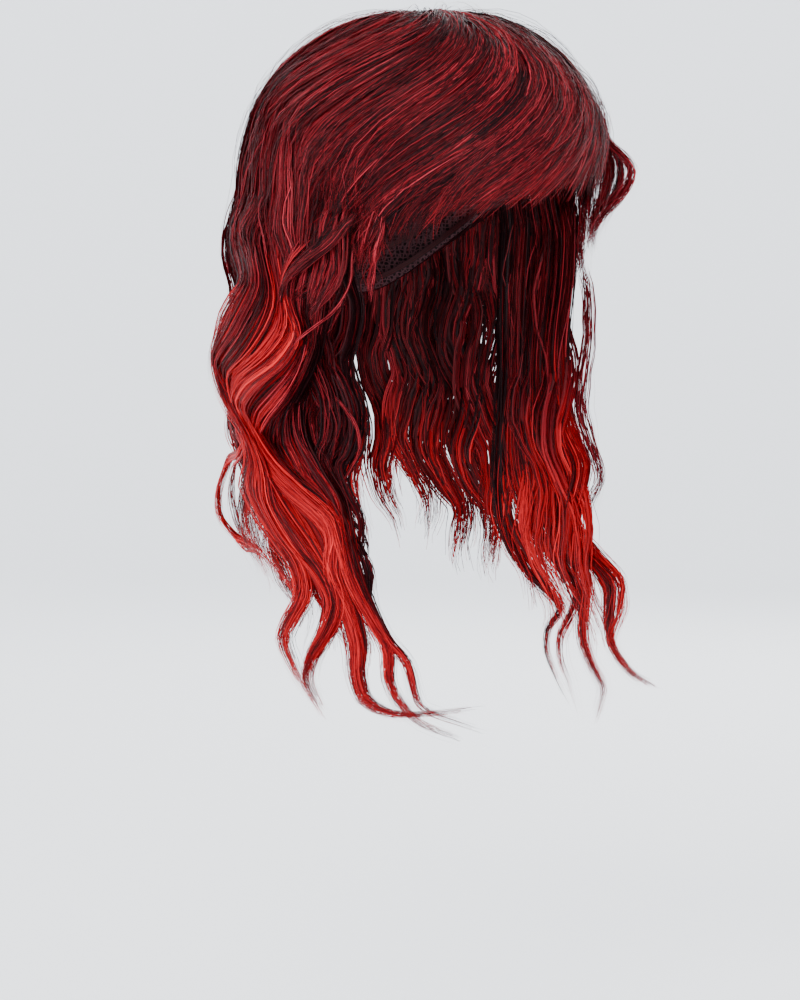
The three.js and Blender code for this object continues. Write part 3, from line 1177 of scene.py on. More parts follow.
# The far bundle's strands are toned lighter, with their dye starting higher up, as painted light where they
# lie in shade.
FAR_ROUTES = (
    Route(((512, 170), (506, 280), (503, 380), (500, 440), (499, 490), (505, 530), (524, 566), (546, 592),
           (562, 608), (550, 628), (547, 652), (556, 677), (571, 706)), Reach.FAR, 208, 0.6, True),
    Route(((530, 170), (524, 280), (519, 380), (516, 440), (520, 480), (535, 520), (556, 560), (578, 590),
           (574, 612), (560, 638), (560, 662), (568, 686), (574, 704)), Reach.FAR, 200, 0.62, True),
    Route(((550, 170), (544, 280), (536, 380), (538, 440), (552, 480), (556, 510), (566, 545), (588, 575),
           (588, 605), (586, 640), (594, 668), (606, 692), (602, 712)), Reach.FAR, 188, 0.64, True),
    Route(((568, 170), (562, 280), (554, 380), (560, 440), (576, 476), (568, 508), (572, 540), (596, 566),
           (612, 592), (612, 625), (614, 650), (628, 672), (646, 683)), Reach.FAR, 182, 0.66, True),
    Route(((584, 170), (578, 280), (570, 380), (580, 436), (593, 466), (588, 500), (582, 530), (604, 560),
           (624, 584), (624, 612), (614, 645), (626, 668), (644, 682)), Reach.FAR, 178, 0.68, True),
)
# How the filling locks of the far bundle are split: coarsely, because they show only through its slits.
FAR_COMB = Comb(clumps=6, strands=11, spacing=8.0, width=1.3)


def hanging(rows: tuple[tuple[float, ...], ...], **shared: float) -> list[Lock]:
    """Makes hanging locks.

    Args:
        rows: the values that differ, in the order of a lock's fields.
        shared: the fields that are the same in all of them.

    Returns:
        The locks.
    """
    return [Lock(*row, **shared) for row in rows]


TRESSES = (
    Tresses("tresses_front_right", hanging((
        (86, 80, 80, 290, 0.9, 92, 4, 0.9, 20, 12, 310, 0.2),
        (92, 86, 78, 300, 0.88, 94, 4, 0.95, 22, 12, 310, 0.2),
        (92, 66, 78, 340, 0.9, 102, 5, 0.95, 18, 12, 300, 0.22),
        (98, 74, 76, 345, 0.92, 102, 5, 1.0, 22, 12, 270, 0.26),
        (104, 80, 74, 335, 0.92, 102, 6, 1.1, 24, 12, 255, 0.3),
    )), [
        PathLock(Route(((334, 230), (328, 270), (316, 300), (308, 325), (314, 352), (312, 380), (298, 405),
                        (296, 432), (312, 458), (326, 486)), Reach.INNER, 290, 0.3), 12, 8),
        PathLock(Route(((345, 235), (340, 275), (330, 305), (322, 330), (326, 360), (322, 390), (312, 415),
                        (316, 445), (330, 475), (336, 505)), Reach.INNER, 300, 0.32), 10, 6),
        PathLock(Route(((320, 225), (312, 265), (300, 300), (296, 325), (302, 352), (298, 382), (282, 408),
                        (280, 436), (294, 462), (310, 490)), Reach.INNER, 280, 0.25), 14, 8),
        PathLock(Route(((348, 290), (330, 326), (319, 350), (324, 384), (342, 408), (356, 430), (358, 450),
                        (348, 472), (338, 490), (334, 512)), Reach.INNER, 260, 0.5), 3, 2, 0.7),
        PathLock(Route(((330, 470), (342, 512), (362, 530), (369, 548), (364, 570)),
                       Reach.INNER, 420, 0.25), 3, 2, 0.6),
        PathLock(Route(((322, 470), (338, 520), (354, 545), (366, 570), (364, 600), (370, 628), (384, 646)),
                       Reach.INNER, 330, 0.28), 7, 4),
    ], [Sheet(NEAR_ROUTES, 5.4, 7.0, clumps=62)]),
    Tresses("tresses_side_right", hanging((
        (108, 86, 72, 335, 0.96, 102, 7, 1.25, 26, 12, 225, 0.3),
        (114, 94, 70, 325, 0.97, 102, 7, 1.3, 26, 12, 220, 0.32),
        (120, 100, 70, 318, 0.98, 103, 7, 1.4, 26, 12, 215, 0.34),
    )), [
        PathLock(Route(((352, 240), (348, 288), (335, 310), (312, 328), (294, 342), (282, 360)),
                       Reach.BRIGHT, 400, 0.66), 0.8, 0.8, 0.7),
        PathLock(Route(((352, 214), (332, 240), (304, 262), (286, 280), (279, 302), (284, 328)),
                       Reach.BRIGHT, 400, 0.44), 5, 3),
    ], [Sheet(NEAR_ROUTES, 2.6, 5.5, clumps=102)]),
    Tresses("tresses_rear_right", hanging((
        (128, 110, 68, 304, 1.0, 106, 7, 1.5, 26, 12, 215, 0.34),
        (136, 120, 68, 300, 1.0, 106, 7, 1.6, 28, 12, 215, 0.38),
        (144, 129, 70, 296, 0.98, 107, 7, 1.7, 28, 12, 215, 0.4),
        (152, 141, 70, 292, 0.97, 107, 6, 1.8, 28, 12, 215, 0.4),
    ), under=8), [
        PathLock(Route(((246, 425), (240, 447), (226, 466), (218, 492), (220, 515), (238, 538), (262, 556),
                        (280, 575)), Reach.MIDDLE, 190, 0.64), 4.5, 3, 0.8),
        PathLock(Route(((248, 432), (243, 452), (233, 474), (232, 500), (238, 525), (256, 546)),
                       Reach.MIDDLE, 200, 0.5), 4, 2, 0.5),
    ], [Sheet(NEAR_ROUTES, 0.0, 2.7, clumps=82)]),
    # The filling locks of the left side, here and below, are toned lighter, as painted light where they lie
    # in shade.
    Tresses("tresses_front_left", hanging((
        (-88, -72, 78, 345, 0.96, 110, 5, 0.95, 20),
        (-95, -80, 76, 350, 1.0, 112, 5, 1.1, 22),
    ), dye=230, tone=0.52, wave_length=84), [
        PathLock(Route(((586, 250), (589, 310), (588, 345), (583, 380), (582, 412), (592, 446), (601, 476),
                        (590, 505), (584, 530)), Reach.FAR, 300, 0.66, True), 9, 4, 0.9),
        PathLock(Route(((582, 540), (604, 562), (622, 580), (626, 600), (618, 628), (613, 650), (622, 668)),
                       Reach.FAR, 200, 0.6, True), 3, 2, 0.5),
    ], [Sheet(FAR_ROUTES, 2.0, 4.0, clumps=56, thick=8)], FAR_COMB),
    Tresses("tresses_side_left", hanging((
        (-106, -92, 72, 345, 1.0, 112, 5, 1.2),
        (-114, -99, 70, 338, 1.02, 112, 5, 1.3),
        (-122, -106, 70, 326, 1.02, 110, 5, 1.4),
    ), dye=225, tone=0.54, wave_length=84), [], [Sheet(FAR_ROUTES, 0.0, 2.1, clumps=52, thick=8)], FAR_COMB),
    Tresses("tresses_rear_left", hanging((
        (-129, -115, 68, 314, 1.03, 110, 5, 1.5, 27),
        (-137, -124, 70, 305, 1.02, 109, 5, 1.6, 27),
        (-147, -136, 68, 298, 1.0, 109, 5, 1.7, 28),
    ), dye=222, tone=0.42, wave_length=74), [], [],
        Comb(clumps=8, strands=14, spacing=7.0, spread=0.42, gather=0.6, width=1.4)),
    Tresses("tresses_nape", hanging((
        (160, 153, 80, 294, 0.95, 105, 3.5, 1.9),
        (171, 166, 80, 290, 0.96, 104, 3.5, 2.0),
        (-178, -178, 80, 286, 0.95, 103, 3.5, 2.1),
        (-167, -162, 80, 290, 0.96, 103, 3.5, 2.2),
        (-157, -148, 80, 296, 0.98, 105, 3.5, 2.3),
    ), width=32, dye=218, tone=0.42, wave_length=72, under=9), [], [],
        Comb(clumps=9, strands=15, spacing=7.0, spread=0.45, gather=0.55, width=1.4)),
)


@dataclass(frozen=True)
class Flow:
    """The way that the hair is combed from the whorl, down the crown and into the fringe.

    Each combed line leaves the whorl at a base angle and sweeps towards the wearer's right between
    two drops.

    Attributes:
        base: base angles in degrees, the column that the next three follow.
        sweep: how far the line sweeps, in degrees.
        begins: the drop in mm where the sweep begins.
        ends: the drop where it ends.
        edge_at: angles round the head, the column that the next one follows.
        edge: the drop in mm of the cut ends there.
        points: the angles of the fringe's points.
        point_length: how far the points hang below the cut, in mm.
        point_slope: how fast the cut rises beside a point, in mm a degree.
        whorl_back: how far the whorl lies behind the origin, in mm.
        brow_gap: how far the fringe stands off the forehead, in mm.
    """

    base: tuple[float, ...] = (-180, -120, -90, -60, -40, -20, -8, 7, 20, 34, 43, 70, 110, 180)
    sweep: tuple[float, ...] = (15, -8, -5, 6, 22, 48, 56, 62, 66, 66, 72, 60, 35, 15)
    begins: tuple[float, ...] = (-20, -20, -20, -10, 10, 25, 20, 8, -12, -20, -25, -25, -25, -20)
    ends: tuple[float, ...] = (80, 80, 80, 100, 125, 128, 126, 120, 98, 70, 46, 30, 40, 80)
    edge_at: tuple[float, ...] = (
        -180, -140, -110, -85, -60, -45, -20, -12, -2, 7, 23, 44, 60, 78, 95, 120, 150, 180
    )
    edge: tuple[float, ...] = (
        170, 165, 150, 125, 92, 80, 70, 66, 75, 83, 88, 97, 109, 121, 140, 158, 168, 170
    )
    points: tuple[float, ...] = (-56, -44, -24, -14, -4, 7, 17, 27, 42, 52, 64, 78)
    point_length: float = 6.5
    point_slope: float = 1.3
    whorl_back: float = 8.0
    brow_gap: float = 5.0

    def nearest_point(self, angle: np.ndarray) -> np.ndarray:
        """Finds the angle of the fringe point that is nearest to each angle."""
        points = np.array(self.points, float)
        return points[np.abs(angle[:, None] - points).argmin(axis=1)]

    def cut(self, angle: np.ndarray) -> np.ndarray:
        """Gives the drop of the cut ends at an angle, before the points are cut in."""
        return np.interp(angle, self.edge_at, self.edge, period=360)

    def point_drop(self, off: np.ndarray) -> np.ndarray:
        """Gives how far the cut is moved by a point that lies some degrees off."""
        return self.point_length - np.minimum(self.point_slope * np.abs(off), 2.2 * self.point_length)

    def angle(self, base: np.ndarray, drop: np.ndarray) -> np.ndarray:
        """Gives the angle of a combed line at a drop.

        Args:
            base: the line's base angle.
            drop: the drop in mm.

        Returns:
            The angle in degrees.
        """
        sweep, begins, ends = (
            np.interp(base, self.base, row, period=360) for row in (self.sweep, self.begins, self.ends)
        )
        return base + sweep * smooth((drop - begins) / (ends - begins), 0, 1)

    def base_at(self, angle: np.ndarray, drop: np.ndarray) -> np.ndarray:
        """Finds the combed line that passes an angle at a drop, by halving.

        Args:
            angle: the angle in degrees.
            drop: the drop in mm.

        Returns:
            The line's base angle.
        """
        low, high = angle - 95.0, angle + 20.0
        for _ in range(24):
            middle = (low + high) / 2
            short = self.angle(middle, drop) < angle
            low, high = np.where(short, middle, low), np.where(short, high, middle)
        return (low + high) / 2

    def drop(self, fall: np.ndarray) -> np.ndarray:
        """Gives the drop of a share of the quarter round from top to ear.

        Args:
            fall: the share, which goes past 1 below the ear.

        Returns:
            The drop in mm.
        """
        rise = FORM.head_rise + FORM.hair_over_crown
        over = np.maximum(fall - 1.0, 0.0) * rise * math.pi / 2
        return rise * (1.0 - np.cos(np.clip(fall, 0, 1) * math.pi / 2)) - FORM.hair_over_crown + over

    def fall(self, drop: np.ndarray) -> np.ndarray:
        """Gives the share of the quarter round at a drop.

        Args:
            drop: the drop in mm.

        Returns:
            The share, which goes past 1 below the ear.
        """
        rise = FORM.head_rise + FORM.hair_over_crown
        over = np.maximum(drop - FORM.head_rise, 0.0) / (rise * math.pi / 2)
        return np.arccos(np.clip((FORM.head_rise - drop) / rise, 0, 1)) * 2 / math.pi + over

    def surface(self, angle: np.ndarray, drop: np.ndarray) -> np.ndarray:
        """Gives the reach of the hair's surface: the crown's form, closing on the forehead.

        Args:
            angle: angles in degrees.
            drop: drops in mm.

        Returns:
            The reach in mm.
        """
        turn = np.abs(np.mod(angle + 180.0, 360.0) - 180.0)
        crown = FORM.hair_reach(angle, drop)
        brow = FORM.plan_reach(angle, FORM.head_half_width, FORM.head_front, FORM.head_back) + self.brow_gap
        return mix(crown, brow, (1.0 - smooth(turn, 72, 96)) * smooth(drop, 45, 105))


FLOW = Flow()


@dataclass(frozen=True)
class CrownSector:
    """A sector of the crown hair or the fringe.

    Attributes:
        name: the piece's name.
        low: the lowest angle of the middles of its strands.
        high: the highest.
        top: the least drop of the middles.
        bottom: the most.
        clumps: how many clumps it has.
        replaces: the CAD node that it stands for, or none.
        number: seeds its chance values.
    """

    name: str
    low: float
    high: float
    top: float
    bottom: float
    clumps: int
    number: int
    replaces: str = ""


@dataclass
class CrownHair:
    """The hair over the cap, combed out from the whorl at the crown of the head.

    Attributes:
        strands: strands in each clump.
        steps: points along each strand.
        width: a strand's full width in mm.
        skew: how far clumps lie across the flow, in degrees.
        most_skew: the most that one lies across it.
        depth: how deep the layers of strands are, in mm.
        loose: the share of thin strands that stand up from the hair.
        bright: the share of strands that catch the light.
        base_depth: how far the dense dome lies below the surface, in mm.
        base_overlap: how far its underside reaches up from its edge, in mm.
        sectors: where the strands lie.
    """

    strands: int = 23
    steps: int = 8
    width: float = 0.74
    skew: float = 8.5
    most_skew: float = 14.0
    depth: float = 5.2
    loose: float = 0.05
    bright: float = 0.14
    base_depth: float = 5.5
    base_overlap: float = 22.0
    sectors: tuple[CrownSector, ...] = (
        CrownSector("crown_strands_front", -70, 55, -19.5, 60, 260, 1),
        CrownSector("crown_strands_right", 55, 150, -19.5, 120, 290, 2),
        CrownSector("crown_strands_back", 150, 290, -19.5, 120, 220, 3),
        CrownSector("fringe_strands", -62, 88, 40, 92, 230, 4, "fringe"),
    )

    def surface(self, angle: np.ndarray, drop: np.ndarray) -> tuple[np.ndarray, np.ndarray]:
        """Gives the hair's surface.

        Args:
            angle: angles in degrees.
            drop: drops in mm.

        Returns:
            The points in mm, and the directions that the surface faces there.
        """
        points = FORM.place(angle, FLOW.surface(angle, drop), drop)
        upright = np.maximum(FORM.head_rise - drop, 0.0)[..., None]
        return points, unit(points * [1.0, 1.0, 0.0] + [0.0, 0.0, 1.0] * upright)

    def strands_of(self, sector: CrownSector) -> Strands:
        """Combs the clumps of a sector.

        Args:
            sector: where they lie and how many there are.

        Returns:
            The sector's strands.
        """
        rng = np.random.default_rng([SEED, 100 + sector.number])
        clump = np.repeat(np.arange(sector.clumps), self.strands)
        count = len(clump)

        def each(low: float, high: float) -> np.ndarray:
            """Draws a value for each strand."""
            return rng.uniform(low, high, count)[:, None]

        middle = rng.uniform(sector.low, sector.high, sector.clumps)
        spots = np.linspace(FLOW.fall(np.array(sector.top)), FLOW.fall(np.array(sector.bottom)), 200)
        weight = np.cumsum(np.sin(np.clip(spots, 0.12, 1) * math.pi / 2))
        fall = np.interp(rng.uniform(0, 1, sector.clumps), weight / weight[-1], spots)
        base = FLOW.base_at(middle, FLOW.drop(fall))
        half = rng.uniform(0.18, 0.36, sector.clumps)
        height = -self.depth + 4.8 * rng.beta(1.6, 1.2, sector.clumps)
        skew = np.clip(rng.normal(0, self.skew, sector.clumps), -self.most_skew, self.most_skew)
        own = np.linspace(0, 1, self.steps)[None, :]
        begins = np.maximum((fall - half)[clump][:, None] + each(-0.04, 0.04), each(0.0, 0.07))
        ends = np.maximum((fall + half)[clump][:, None] + each(-0.06, 0.06), begins + 0.12)
        last = FLOW.angle(base, FLOW.drop(fall + half))
        point = FLOW.nearest_point(last)
        edge = FLOW.cut(last) + rng.normal(0, 2.5, sector.clumps) + FLOW.point_drop(last - point)
        ends = np.minimum(ends, FLOW.fall(edge - 5.0)[clump][:, None] + each(-0.11, 0.03))
        begins = np.maximum(np.minimum(begins, ends - 0.15), 0.01)
        path = mix(begins, ends, own)
        drop = FLOW.drop(path)
        loose = (rng.uniform(0, 1, count) < self.loose)[:, None]
        lean = skew[clump][:, None] + rng.normal(0, 1.5, count)[:, None] * np.where(loose, 3.0, 1.0)
        angle = FLOW.angle(base[clump][:, None], drop) + lean * own
        brow = smooth(drop, 50, 80) * (np.abs(last) < 90)[clump][:, None]
        angle = angle + 0.55 * (point - last)[clump][:, None] * brow * smooth(own, 0.3, 1.0)
        closing = 1.0 - 0.75 * own**1.5
        aside = rng.normal(0, 2.9, count)[:, None] * closing
        aside = aside + 0.9 * waves(own * each(0.4, 1.2) + each(0, 1))
        rise = height[clump][:, None] + each(-0.7, 0.7)
        arc = np.where(loose, each(1.0, 7.0), 0.0) * np.sin(math.pi * own)
        lift = rise + arc - 2.0 * (1 - smooth(own, 0, 0.25)) - 0.6 * smooth(own, 0.8, 1)
        points, normal = self.surface(angle, drop)
        across = np.cross(unit(np.gradient(points, axis=1)), normal)
        points = points + normal * lift[..., None] + across * aside[..., None]
        points[..., 1] += FLOW.whorl_back * np.clip(1.0 - path, 0, 1) ** 3
        radii = self.width / 2 * smooth(own, -0.1, 0.2) * (1.0 - 0.8 * smooth(own, 0.6, 1.0)) * each(0.7, 1.2)
        radii = radii * np.where(loose, 0.5, 1.0)
        broad = 0.09 * np.sin(np.radians(base * 5.0) + 4.0 * fall)
        broad = broad + 0.05 * np.sin(np.radians(base * 13.0) - 7.0 * fall)
        # Clumps that lie deeper in the hair are painted darker: painted shade under the upper strands.
        shades = broad + 0.075 * height + rng.normal(0, 0.1, sector.clumps)
        tones = shades[clump] + rng.normal(0, 0.13, count)
        tones = tones + 0.2 * (rng.uniform(0, 1, count) < self.bright)
        tones = tones + (0.54 - 0.07 * smooth(last, 100, 40) - 0.03 * smooth(fall, 0.6, 1.0))[clump]
        return Strands(points, radii, tones, 0.3 * brow * smooth(own, 0.6, 1.0))

    def base(self, under: bpy.types.Material) -> bpy.types.Object:
        """Builds the dense dome below the strands.

        Args:
            under: its material.

        Returns:
            The new object.
        """
        steps, rings = 120, 40
        angles = -np.arange(steps) * 360.0 / steps
        share = (np.arange(rings)[:, None] + 1) / rings
        drop = np.minimum(FORM.dome_drop(angles, share), FORM.cap_drop(angles) + 1.0)
        outer, normal = self.surface(angles, drop)
        outer = outer - normal * self.base_depth
        lower = np.minimum(drop + self.base_overlap, drop.max(0))
        inner = FORM.place(angles, FORM.cap_reach(angles, lower, 2.3), lower)
        top, low = [0.0, 0.0, FORM.hair_over_crown - self.base_depth], [0.0, 0.0, FORM.cap_wall + 0.6]
        made = shell("crown_base", np.concatenate([outer, inner[::-1]]), [top, low], under)
        dress(made, Slot.BURGUNDY, "crown_hair")
        return made

    def build(self, fibre: bpy.types.Material, under: bpy.types.Material) -> list[bpy.types.Object]:
        """Builds the dome, and the strands over it and in the fringe.

        Args:
            fibre: the strands' material.
            under: the dome's material.

        Returns:
            The new objects.
        """
        made = [self.base(under)]
        for sector in self.sectors:
            piece = StrandMesher().build(sector.name, [self.strands_of(sector)], fibre)
            dress(piece, Slot.BURGUNDY, *([sector.replaces] if sector.replaces else []))
            made.append(piece)
        return made


def add_object(name: str, mesh: bpy.types.Mesh, material: bpy.types.Material) -> bpy.types.Object:
    """Shades a mesh smoothly and puts it into the scene.

    Args:
        name: the object's name.
        mesh: the mesh.
        material: its material.

    Returns:
        The new object.
    """
    mesh.polygons.foreach_set("use_smooth", np.ones(len(mesh.polygons), dtype=bool))
    mesh.materials.append(material)
    made = bpy.data.objects.new(name, mesh)
    bpy.context.scene.collection.objects.link(made)
    return made


def shell(
    name: str, rings: np.ndarray, poles: list[list[float]], material: bpy.types.Material, scale: float = MM
) -> bpy.types.Object:
    """Makes a smooth skin over rings of points.

    Args:
        name: the piece's name.
        rings: the points, one row for each ring.
        poles: the pole before the first ring, and the one after the last ring where the skin closes.
        material: its material.
        scale: the points' unit in metres.

    Returns:
        The new object.
    """
    count, steps, _ = rings.shape
    tops = np.array(poles, float)
    points = np.concatenate([tops[:1], rings.reshape(-1, 3), tops[1:]]) * scale
    index = 1 + np.arange(count * steps).reshape(count, steps)
    nxt = np.roll(index, -1, axis=1)
    faces = [[0, a, b] for a, b in zip(index[0], nxt[0])]
    faces += np.stack([index[:-1], index[1:], nxt[1:], nxt[:-1]], axis=-1).reshape(-1, 4).tolist()
    if len(poles) > 1:
        faces += [[a, len(points) - 1, b] for a, b in zip(index[-1], nxt[-1])]
    mesh = bpy.data.meshes.new(name)
    mesh.from_pydata(points.tolist(), [], [[int(i) for i in face] for face in faces])
    return add_object(name, mesh, material)


TEMPLES = {
    "temple_lock_right": [
        PathLock(Route(((392, 185), (385, 215), (377, 245), (372, 272), (369, 304)),
                       Reach.TEMPLE, 400, 0.62), 3, 2, 0.6),
        PathLock(Route(((386, 185), (376, 215), (366, 245), (362, 262)), Reach.TEMPLE, 400, 0.52), 8, 4, 0.8),
        PathLock(Route(((376, 185), (365, 220), (356, 255), (350, 285)), Reach.TEMPLE, 400, 0.48), 9, 4),
        PathLock(Route(((366, 185), (354, 225), (345, 262), (340, 300)), Reach.TEMPLE, 400, 0.46), 9, 4),
    ],
    "temple_lock_left": [
        PathLock(Route(((590, 95), (593, 130), (592, 160), (589, 190), (590, 225), (590, 258)),
                       dye=400, tone=0.54, side=-54), 9, 5, 1.4),
        PathLock(Route(((594, 98), (600, 138), (606, 165), (603, 190), (596, 215), (591, 235), (590, 255)),
                       dye=400, tone=0.57, side=-57), 10, 5, 1.6),
        PathLock(Route(((597, 104), (606, 142), (619, 165), (617, 185), (604, 208), (594, 228), (591, 250)),
                       dye=400, tone=0.63, side=-64), 10, 4, 1.6),
        PathLock(Route(((598, 106), (606, 141), (613, 163), (611, 186), (601, 208), (593, 226), (590, 246)),
                       dye=400, tone=0.59, side=-60), 9, 4, 1.2),
        PathLock(Route(((600, 110), (607, 140), (624, 158), (631, 171), (624, 190), (606, 212), (594, 228),
                        (590, 248)), dye=400, tone=0.68, side=-51), 7, 3, 1.4),
        PathLock(Route(((584, 110), (587, 150), (584, 190), (578, 225)),
                       dye=400, tone=0.52, side=-66), 5, 3, 0.5),
        PathLock(Route(((584, 150), (582, 200), (580, 250), (578, 280)), Reach.FAR, 400, 0.42, True), 11, 5),
        PathLock(Route(((568, 160), (564, 210), (562, 260), (560, 300)), Reach.FAR, 400, 0.4, True), 11, 5),
    ],
}


@dataclass
class TempleLocks:
    """The pointed locks before an ear.

    Attributes:
        name: the piece's name and the CAD node that it replaces.
        locks: its locks.
        comb: how each lock is split.
    """

    name: str
    locks: list[PathLock]
    comb: Comb = Comb(clumps=4, strands=20, spread=0.42, width=0.55, shortest=0.78, stray=2.0, loose=0.2)

    def build(self, number: int, fibre: bpy.types.Material) -> bpy.types.Object:
        """Combs the locks into one piece.

        Args:
            number: the piece's number, which seeds its chance values.
            fibre: the fibre's material.

        Returns:
            The new object.
        """
        rng = np.random.default_rng([SEED, 300 + number])
        strands = [LockComber().comb(lock, self.comb, rng) for lock in self.locks]
        piece = StrandMesher().build(self.name + "_strands", strands, fibre)
        dress(piece, Slot.BURGUNDY, self.name)
        return piece


@dataclass
class SideLayer:
    """The short layered hair over an ear, which falls from the crown on to the tresses.

    Attributes:
        name: the piece's name and the CAD node that it replaces.
        side: 1 on the wearer's right and -1 on the left.
        locks: how many locks it has.
        roots: the angles in degrees between which they start.
        end_at: angles, the column that the next one follows.
        ends: the drop in mm where a lock ends.
        comb: how each lock is split.
    """

    name: str
    side: float
    locks: int = 9
    roots: tuple[float, float] = (84, 140)
    end_at: tuple[float, ...] = (84, 105, 140)
    ends: tuple[float, ...] = (140, 172, 190)
    comb: Comb = Comb(clumps=5, strands=18, spacing=9.0, shortest=0.7, stray=1.5)

    def build(self, number: int, fibre: bpy.types.Material) -> bpy.types.Object:
        """Combs the layer into one piece.

        Args:
            number: the piece's number, which seeds its chance values.
            fibre: the fibre's material.

        Returns:
            The new object.
        """
        rng = np.random.default_rng([SEED, 400 + number])
        made = []
        for root in np.linspace(*self.roots, self.locks):
            end = np.interp(root, self.end_at, self.ends) + rng.normal(0, 8)
            lock = Lock(
                root=self.side * root, tip=self.side * (root + 4), start=rng.uniform(82, 96), end=end,
                belly=1.06, reach=102 + root * 0.08, swing=rng.uniform(2, 5), phase=rng.uniform(0, 1),
                width=20, thick=7, dye=240, tone=0.5, under=7.0, wave_length=80.0,
            )
            made.append(LockComber().comb(lock, self.comb, rng))
        piece = StrandMesher().build(self.name + "_strands", made, fibre)
        dress(piece, Slot.BURGUNDY, self.name)
        return piece


@dataclass
class NetCap:
    """The cap: a thin net shell with rows of sewn weft inside it.

    Attributes:
        steps: facets round the cap.
        rings: rings from its top to its edge.
        rows: rows of weft.
        first_row: where the first row lies, as a share of the way from the top to the edge.
        last_row: where the last one lies.
        weft_inset: how far the rows lie inside the cap, in mm.
        weft_half_width: half the width of a row, in mm.
        weft_tone: the shade of the rows.
    """

    steps: int = 96
    rings: int = 30
    rows: int = 9
    first_row: float = 0.3
    last_row: float = 0.97
    weft_inset: float = 0.7
    weft_half_width: float = 1.6
    weft_tone: float = 0.2

    def build(self, net: bpy.types.Material, fibre: bpy.types.Material) -> list[bpy.types.Object]:
        """Builds the shell and the weft rows.

        Args:
            net: the shell's material.
            fibre: the rows' material.

        Returns:
            The new objects.
        """
        angles = -np.arange(self.steps) * 360.0 / self.steps
        fall = turned((np.arange(self.rings)[:, None] + 1) / self.rings)
        top = FORM.cap_wall

        def face(grow: float) -> np.ndarray:
            """Gives the rings of the inside, or of the outside with the wall added."""
            drop = mix(-grow, FORM.cap_drop(angles), fall)
            return FORM.place(angles, FORM.cap_reach(angles, drop, grow), drop)

        made = shell("cap_net", np.concatenate([face(top), face(0.0)[::-1]]), [[0, 0, top], [0, 0, 0]], net)
        dress(made, Slot.CAP_NET, "cap")
        turns = np.linspace(0, 360, 61)[None, :]
        rows = np.linspace(self.first_row, self.last_row, self.rows)[:, None]
        drop = mix(0.0, FORM.cap_drop(turns), turned(rows))
        points = FORM.place(turns, FORM.cap_reach(turns, drop, 0.0) - self.weft_inset, drop)
        radii = np.full(points.shape[:2], self.weft_half_width)
        tapes = Strands(points, radii, np.full(self.rows, self.weft_tone), np.zeros_like(radii))
        wefts = StrandMesher(tilt=0.0).build("cap_weft_rows", [tapes], fibre)
        dress(wefts, Slot.CAP_NET)
        return [made, wefts]


@dataclass(frozen=True)
class SoftLight:
    """A soft square light that faces the wig, in metres.

    Attributes:
        name: its name.
        azimuth: its angle round the wig in degrees, as the camera's.
        height: its height above the wig's middle.
        distance: its distance along the floor.
        size: the side of the square.
        watts: its power.
    """

    name: str
    azimuth: float
    height: float
    distance: float
    size: float
    watts: float

    def build(self) -> None:
        """Adds the light to the scene."""
        data = bpy.data.lights.new(self.name, "AREA")
        data.size = self.size
        data.energy = self.watts
        made = bpy.data.objects.new(self.name, data)
        turn = math.radians(self.azimuth)
        aim = Vector(VIEW.aim) * MM
        ahead = -math.cos(turn) * self.distance
        made.location = Vector((math.sin(turn) * self.distance, ahead, aim.z + self.height))
        made.rotation_euler = (aim - made.location).to_track_quat("-Z", "Y").to_euler()
        bpy.context.scene.collection.objects.link(made)


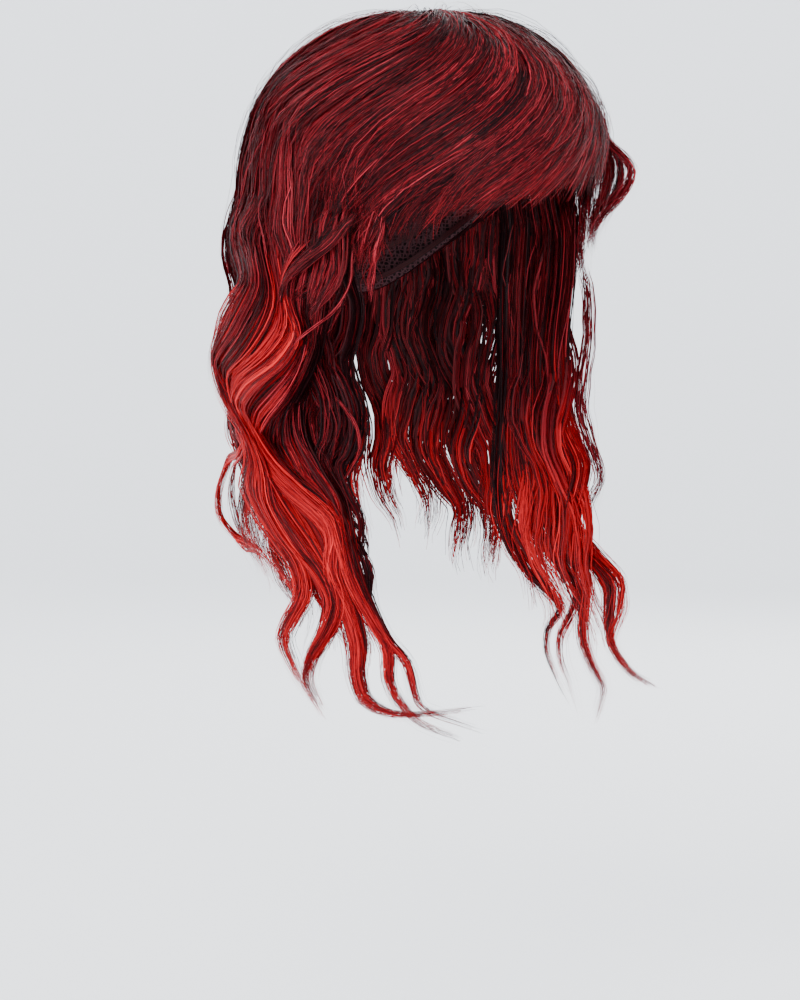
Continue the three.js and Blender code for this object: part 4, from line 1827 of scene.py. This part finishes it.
@dataclass(frozen=True)
class Studio:
    """A plain round cove, soft lights and the camera, in metres.

    Attributes:
        floor: the floor's height.
        flat: the radius of its flat part.
        inner: the radii of the rings inside that.
        curve: the radius of the curve up to the wall.
        wall: the height of the wall.
        steps: points round the cove.
        bend_steps: rings in the curve.
        daylight: the colour of the sky.
        strength: how strong the sky is.
        lights: the soft lights.
    """

    floor: float = -0.56
    flat: float = 3.0
    inner: tuple[float, float] = (0.4, 1.5)
    curve: float = 1.2
    wall: float = 3.4
    steps: int = 64
    bend_steps: int = 13
    daylight: str = "#eef1f6"
    strength: float = 1.2
    lights: tuple[SoftLight, ...] = (
        SoftLight("key", -70.0, 1.4, 1.6, 1.4, 36.0),
        SoftLight("fill", -30.0, -0.1, 2.2, 1.6, 30.0),
        SoftLight("side", 60.0, 0.4, 2.0, 1.4, 14.0),
        SoftLight("rim", 120.0, 1.0, 1.9, 1.2, 22.0),
    )

    def cove(self) -> None:
        """Builds the floor and the wall as one turned sheet."""
        bend = np.linspace(0, math.pi / 2, self.bend_steps)
        out = self.flat + self.curve * np.sin(bend)
        radii = np.concatenate([self.inner, out, [self.flat + self.curve]])[:, None]
        rise = self.curve * (1 - np.cos(bend))
        heights = np.concatenate([[0, 0], rise, [self.wall]])[:, None] + self.floor
        turns = np.linspace(0, 2 * math.pi, self.steps + 1)[:-1]
        rings = [radii * np.cos(turns), radii * np.sin(turns), np.repeat(heights, self.steps, 1)]
        made = shell(
            "cove", np.stack(rings, axis=-1), [[0, 0, self.floor]], PaintedCoveFinish().build(), scale=1.0
        )

    def camera(self) -> None:
        """Places the camera at the photograph's viewing angle."""
        back = Vector(VIEW.back())
        data = bpy.data.cameras.new("camera")
        data.lens = VIEW.lens
        data.sensor_width = VIEW.sensor
        made = bpy.data.objects.new("camera", data)
        made.location = (Vector(VIEW.aim) + back * VIEW.distance) * MM
        made.rotation_euler = (-back).to_track_quat("-Z", "Y").to_euler()
        bpy.context.scene.collection.objects.link(made)
        bpy.context.scene.camera = made

    def build(self) -> None:
        """Builds the cove, the camera, the lights and the sky."""
        self.cove()
        self.camera()
        for light in self.lights:
            light.build()
        world = bpy.data.worlds.new("soft_daylight")
        world.use_nodes = True
        sky = world.node_tree.nodes["Background"]
        sky.inputs["Color"].default_value = linear(self.daylight)
        sky.inputs["Strength"].default_value = self.strength
        bpy.context.scene.world = world


def main() -> None:
    """Builds the wig's looks, piece by piece, and the studio."""
    logging.basicConfig(level=logging.INFO, format="%(name)s: %(message)s")
    Studio().build()
    fibre = FibreFinish().build()
    under = UnderFinish().build()
    net = NetFinish().build()
    NetCap().build(net, fibre)
    CrownHair().build(fibre, under)
    for number, (name, locks) in enumerate(TEMPLES.items()):
        TempleLocks(name, locks).build(number, fibre)
    SideLayer("side_layer_right", 1.0).build(0, fibre)
    SideLayer("side_layer_left", -1.0).build(1, fibre)
    for number, tresses in enumerate(TRESSES):
        tresses.build(number, fibre)


if __name__ == "__main__":
    main()
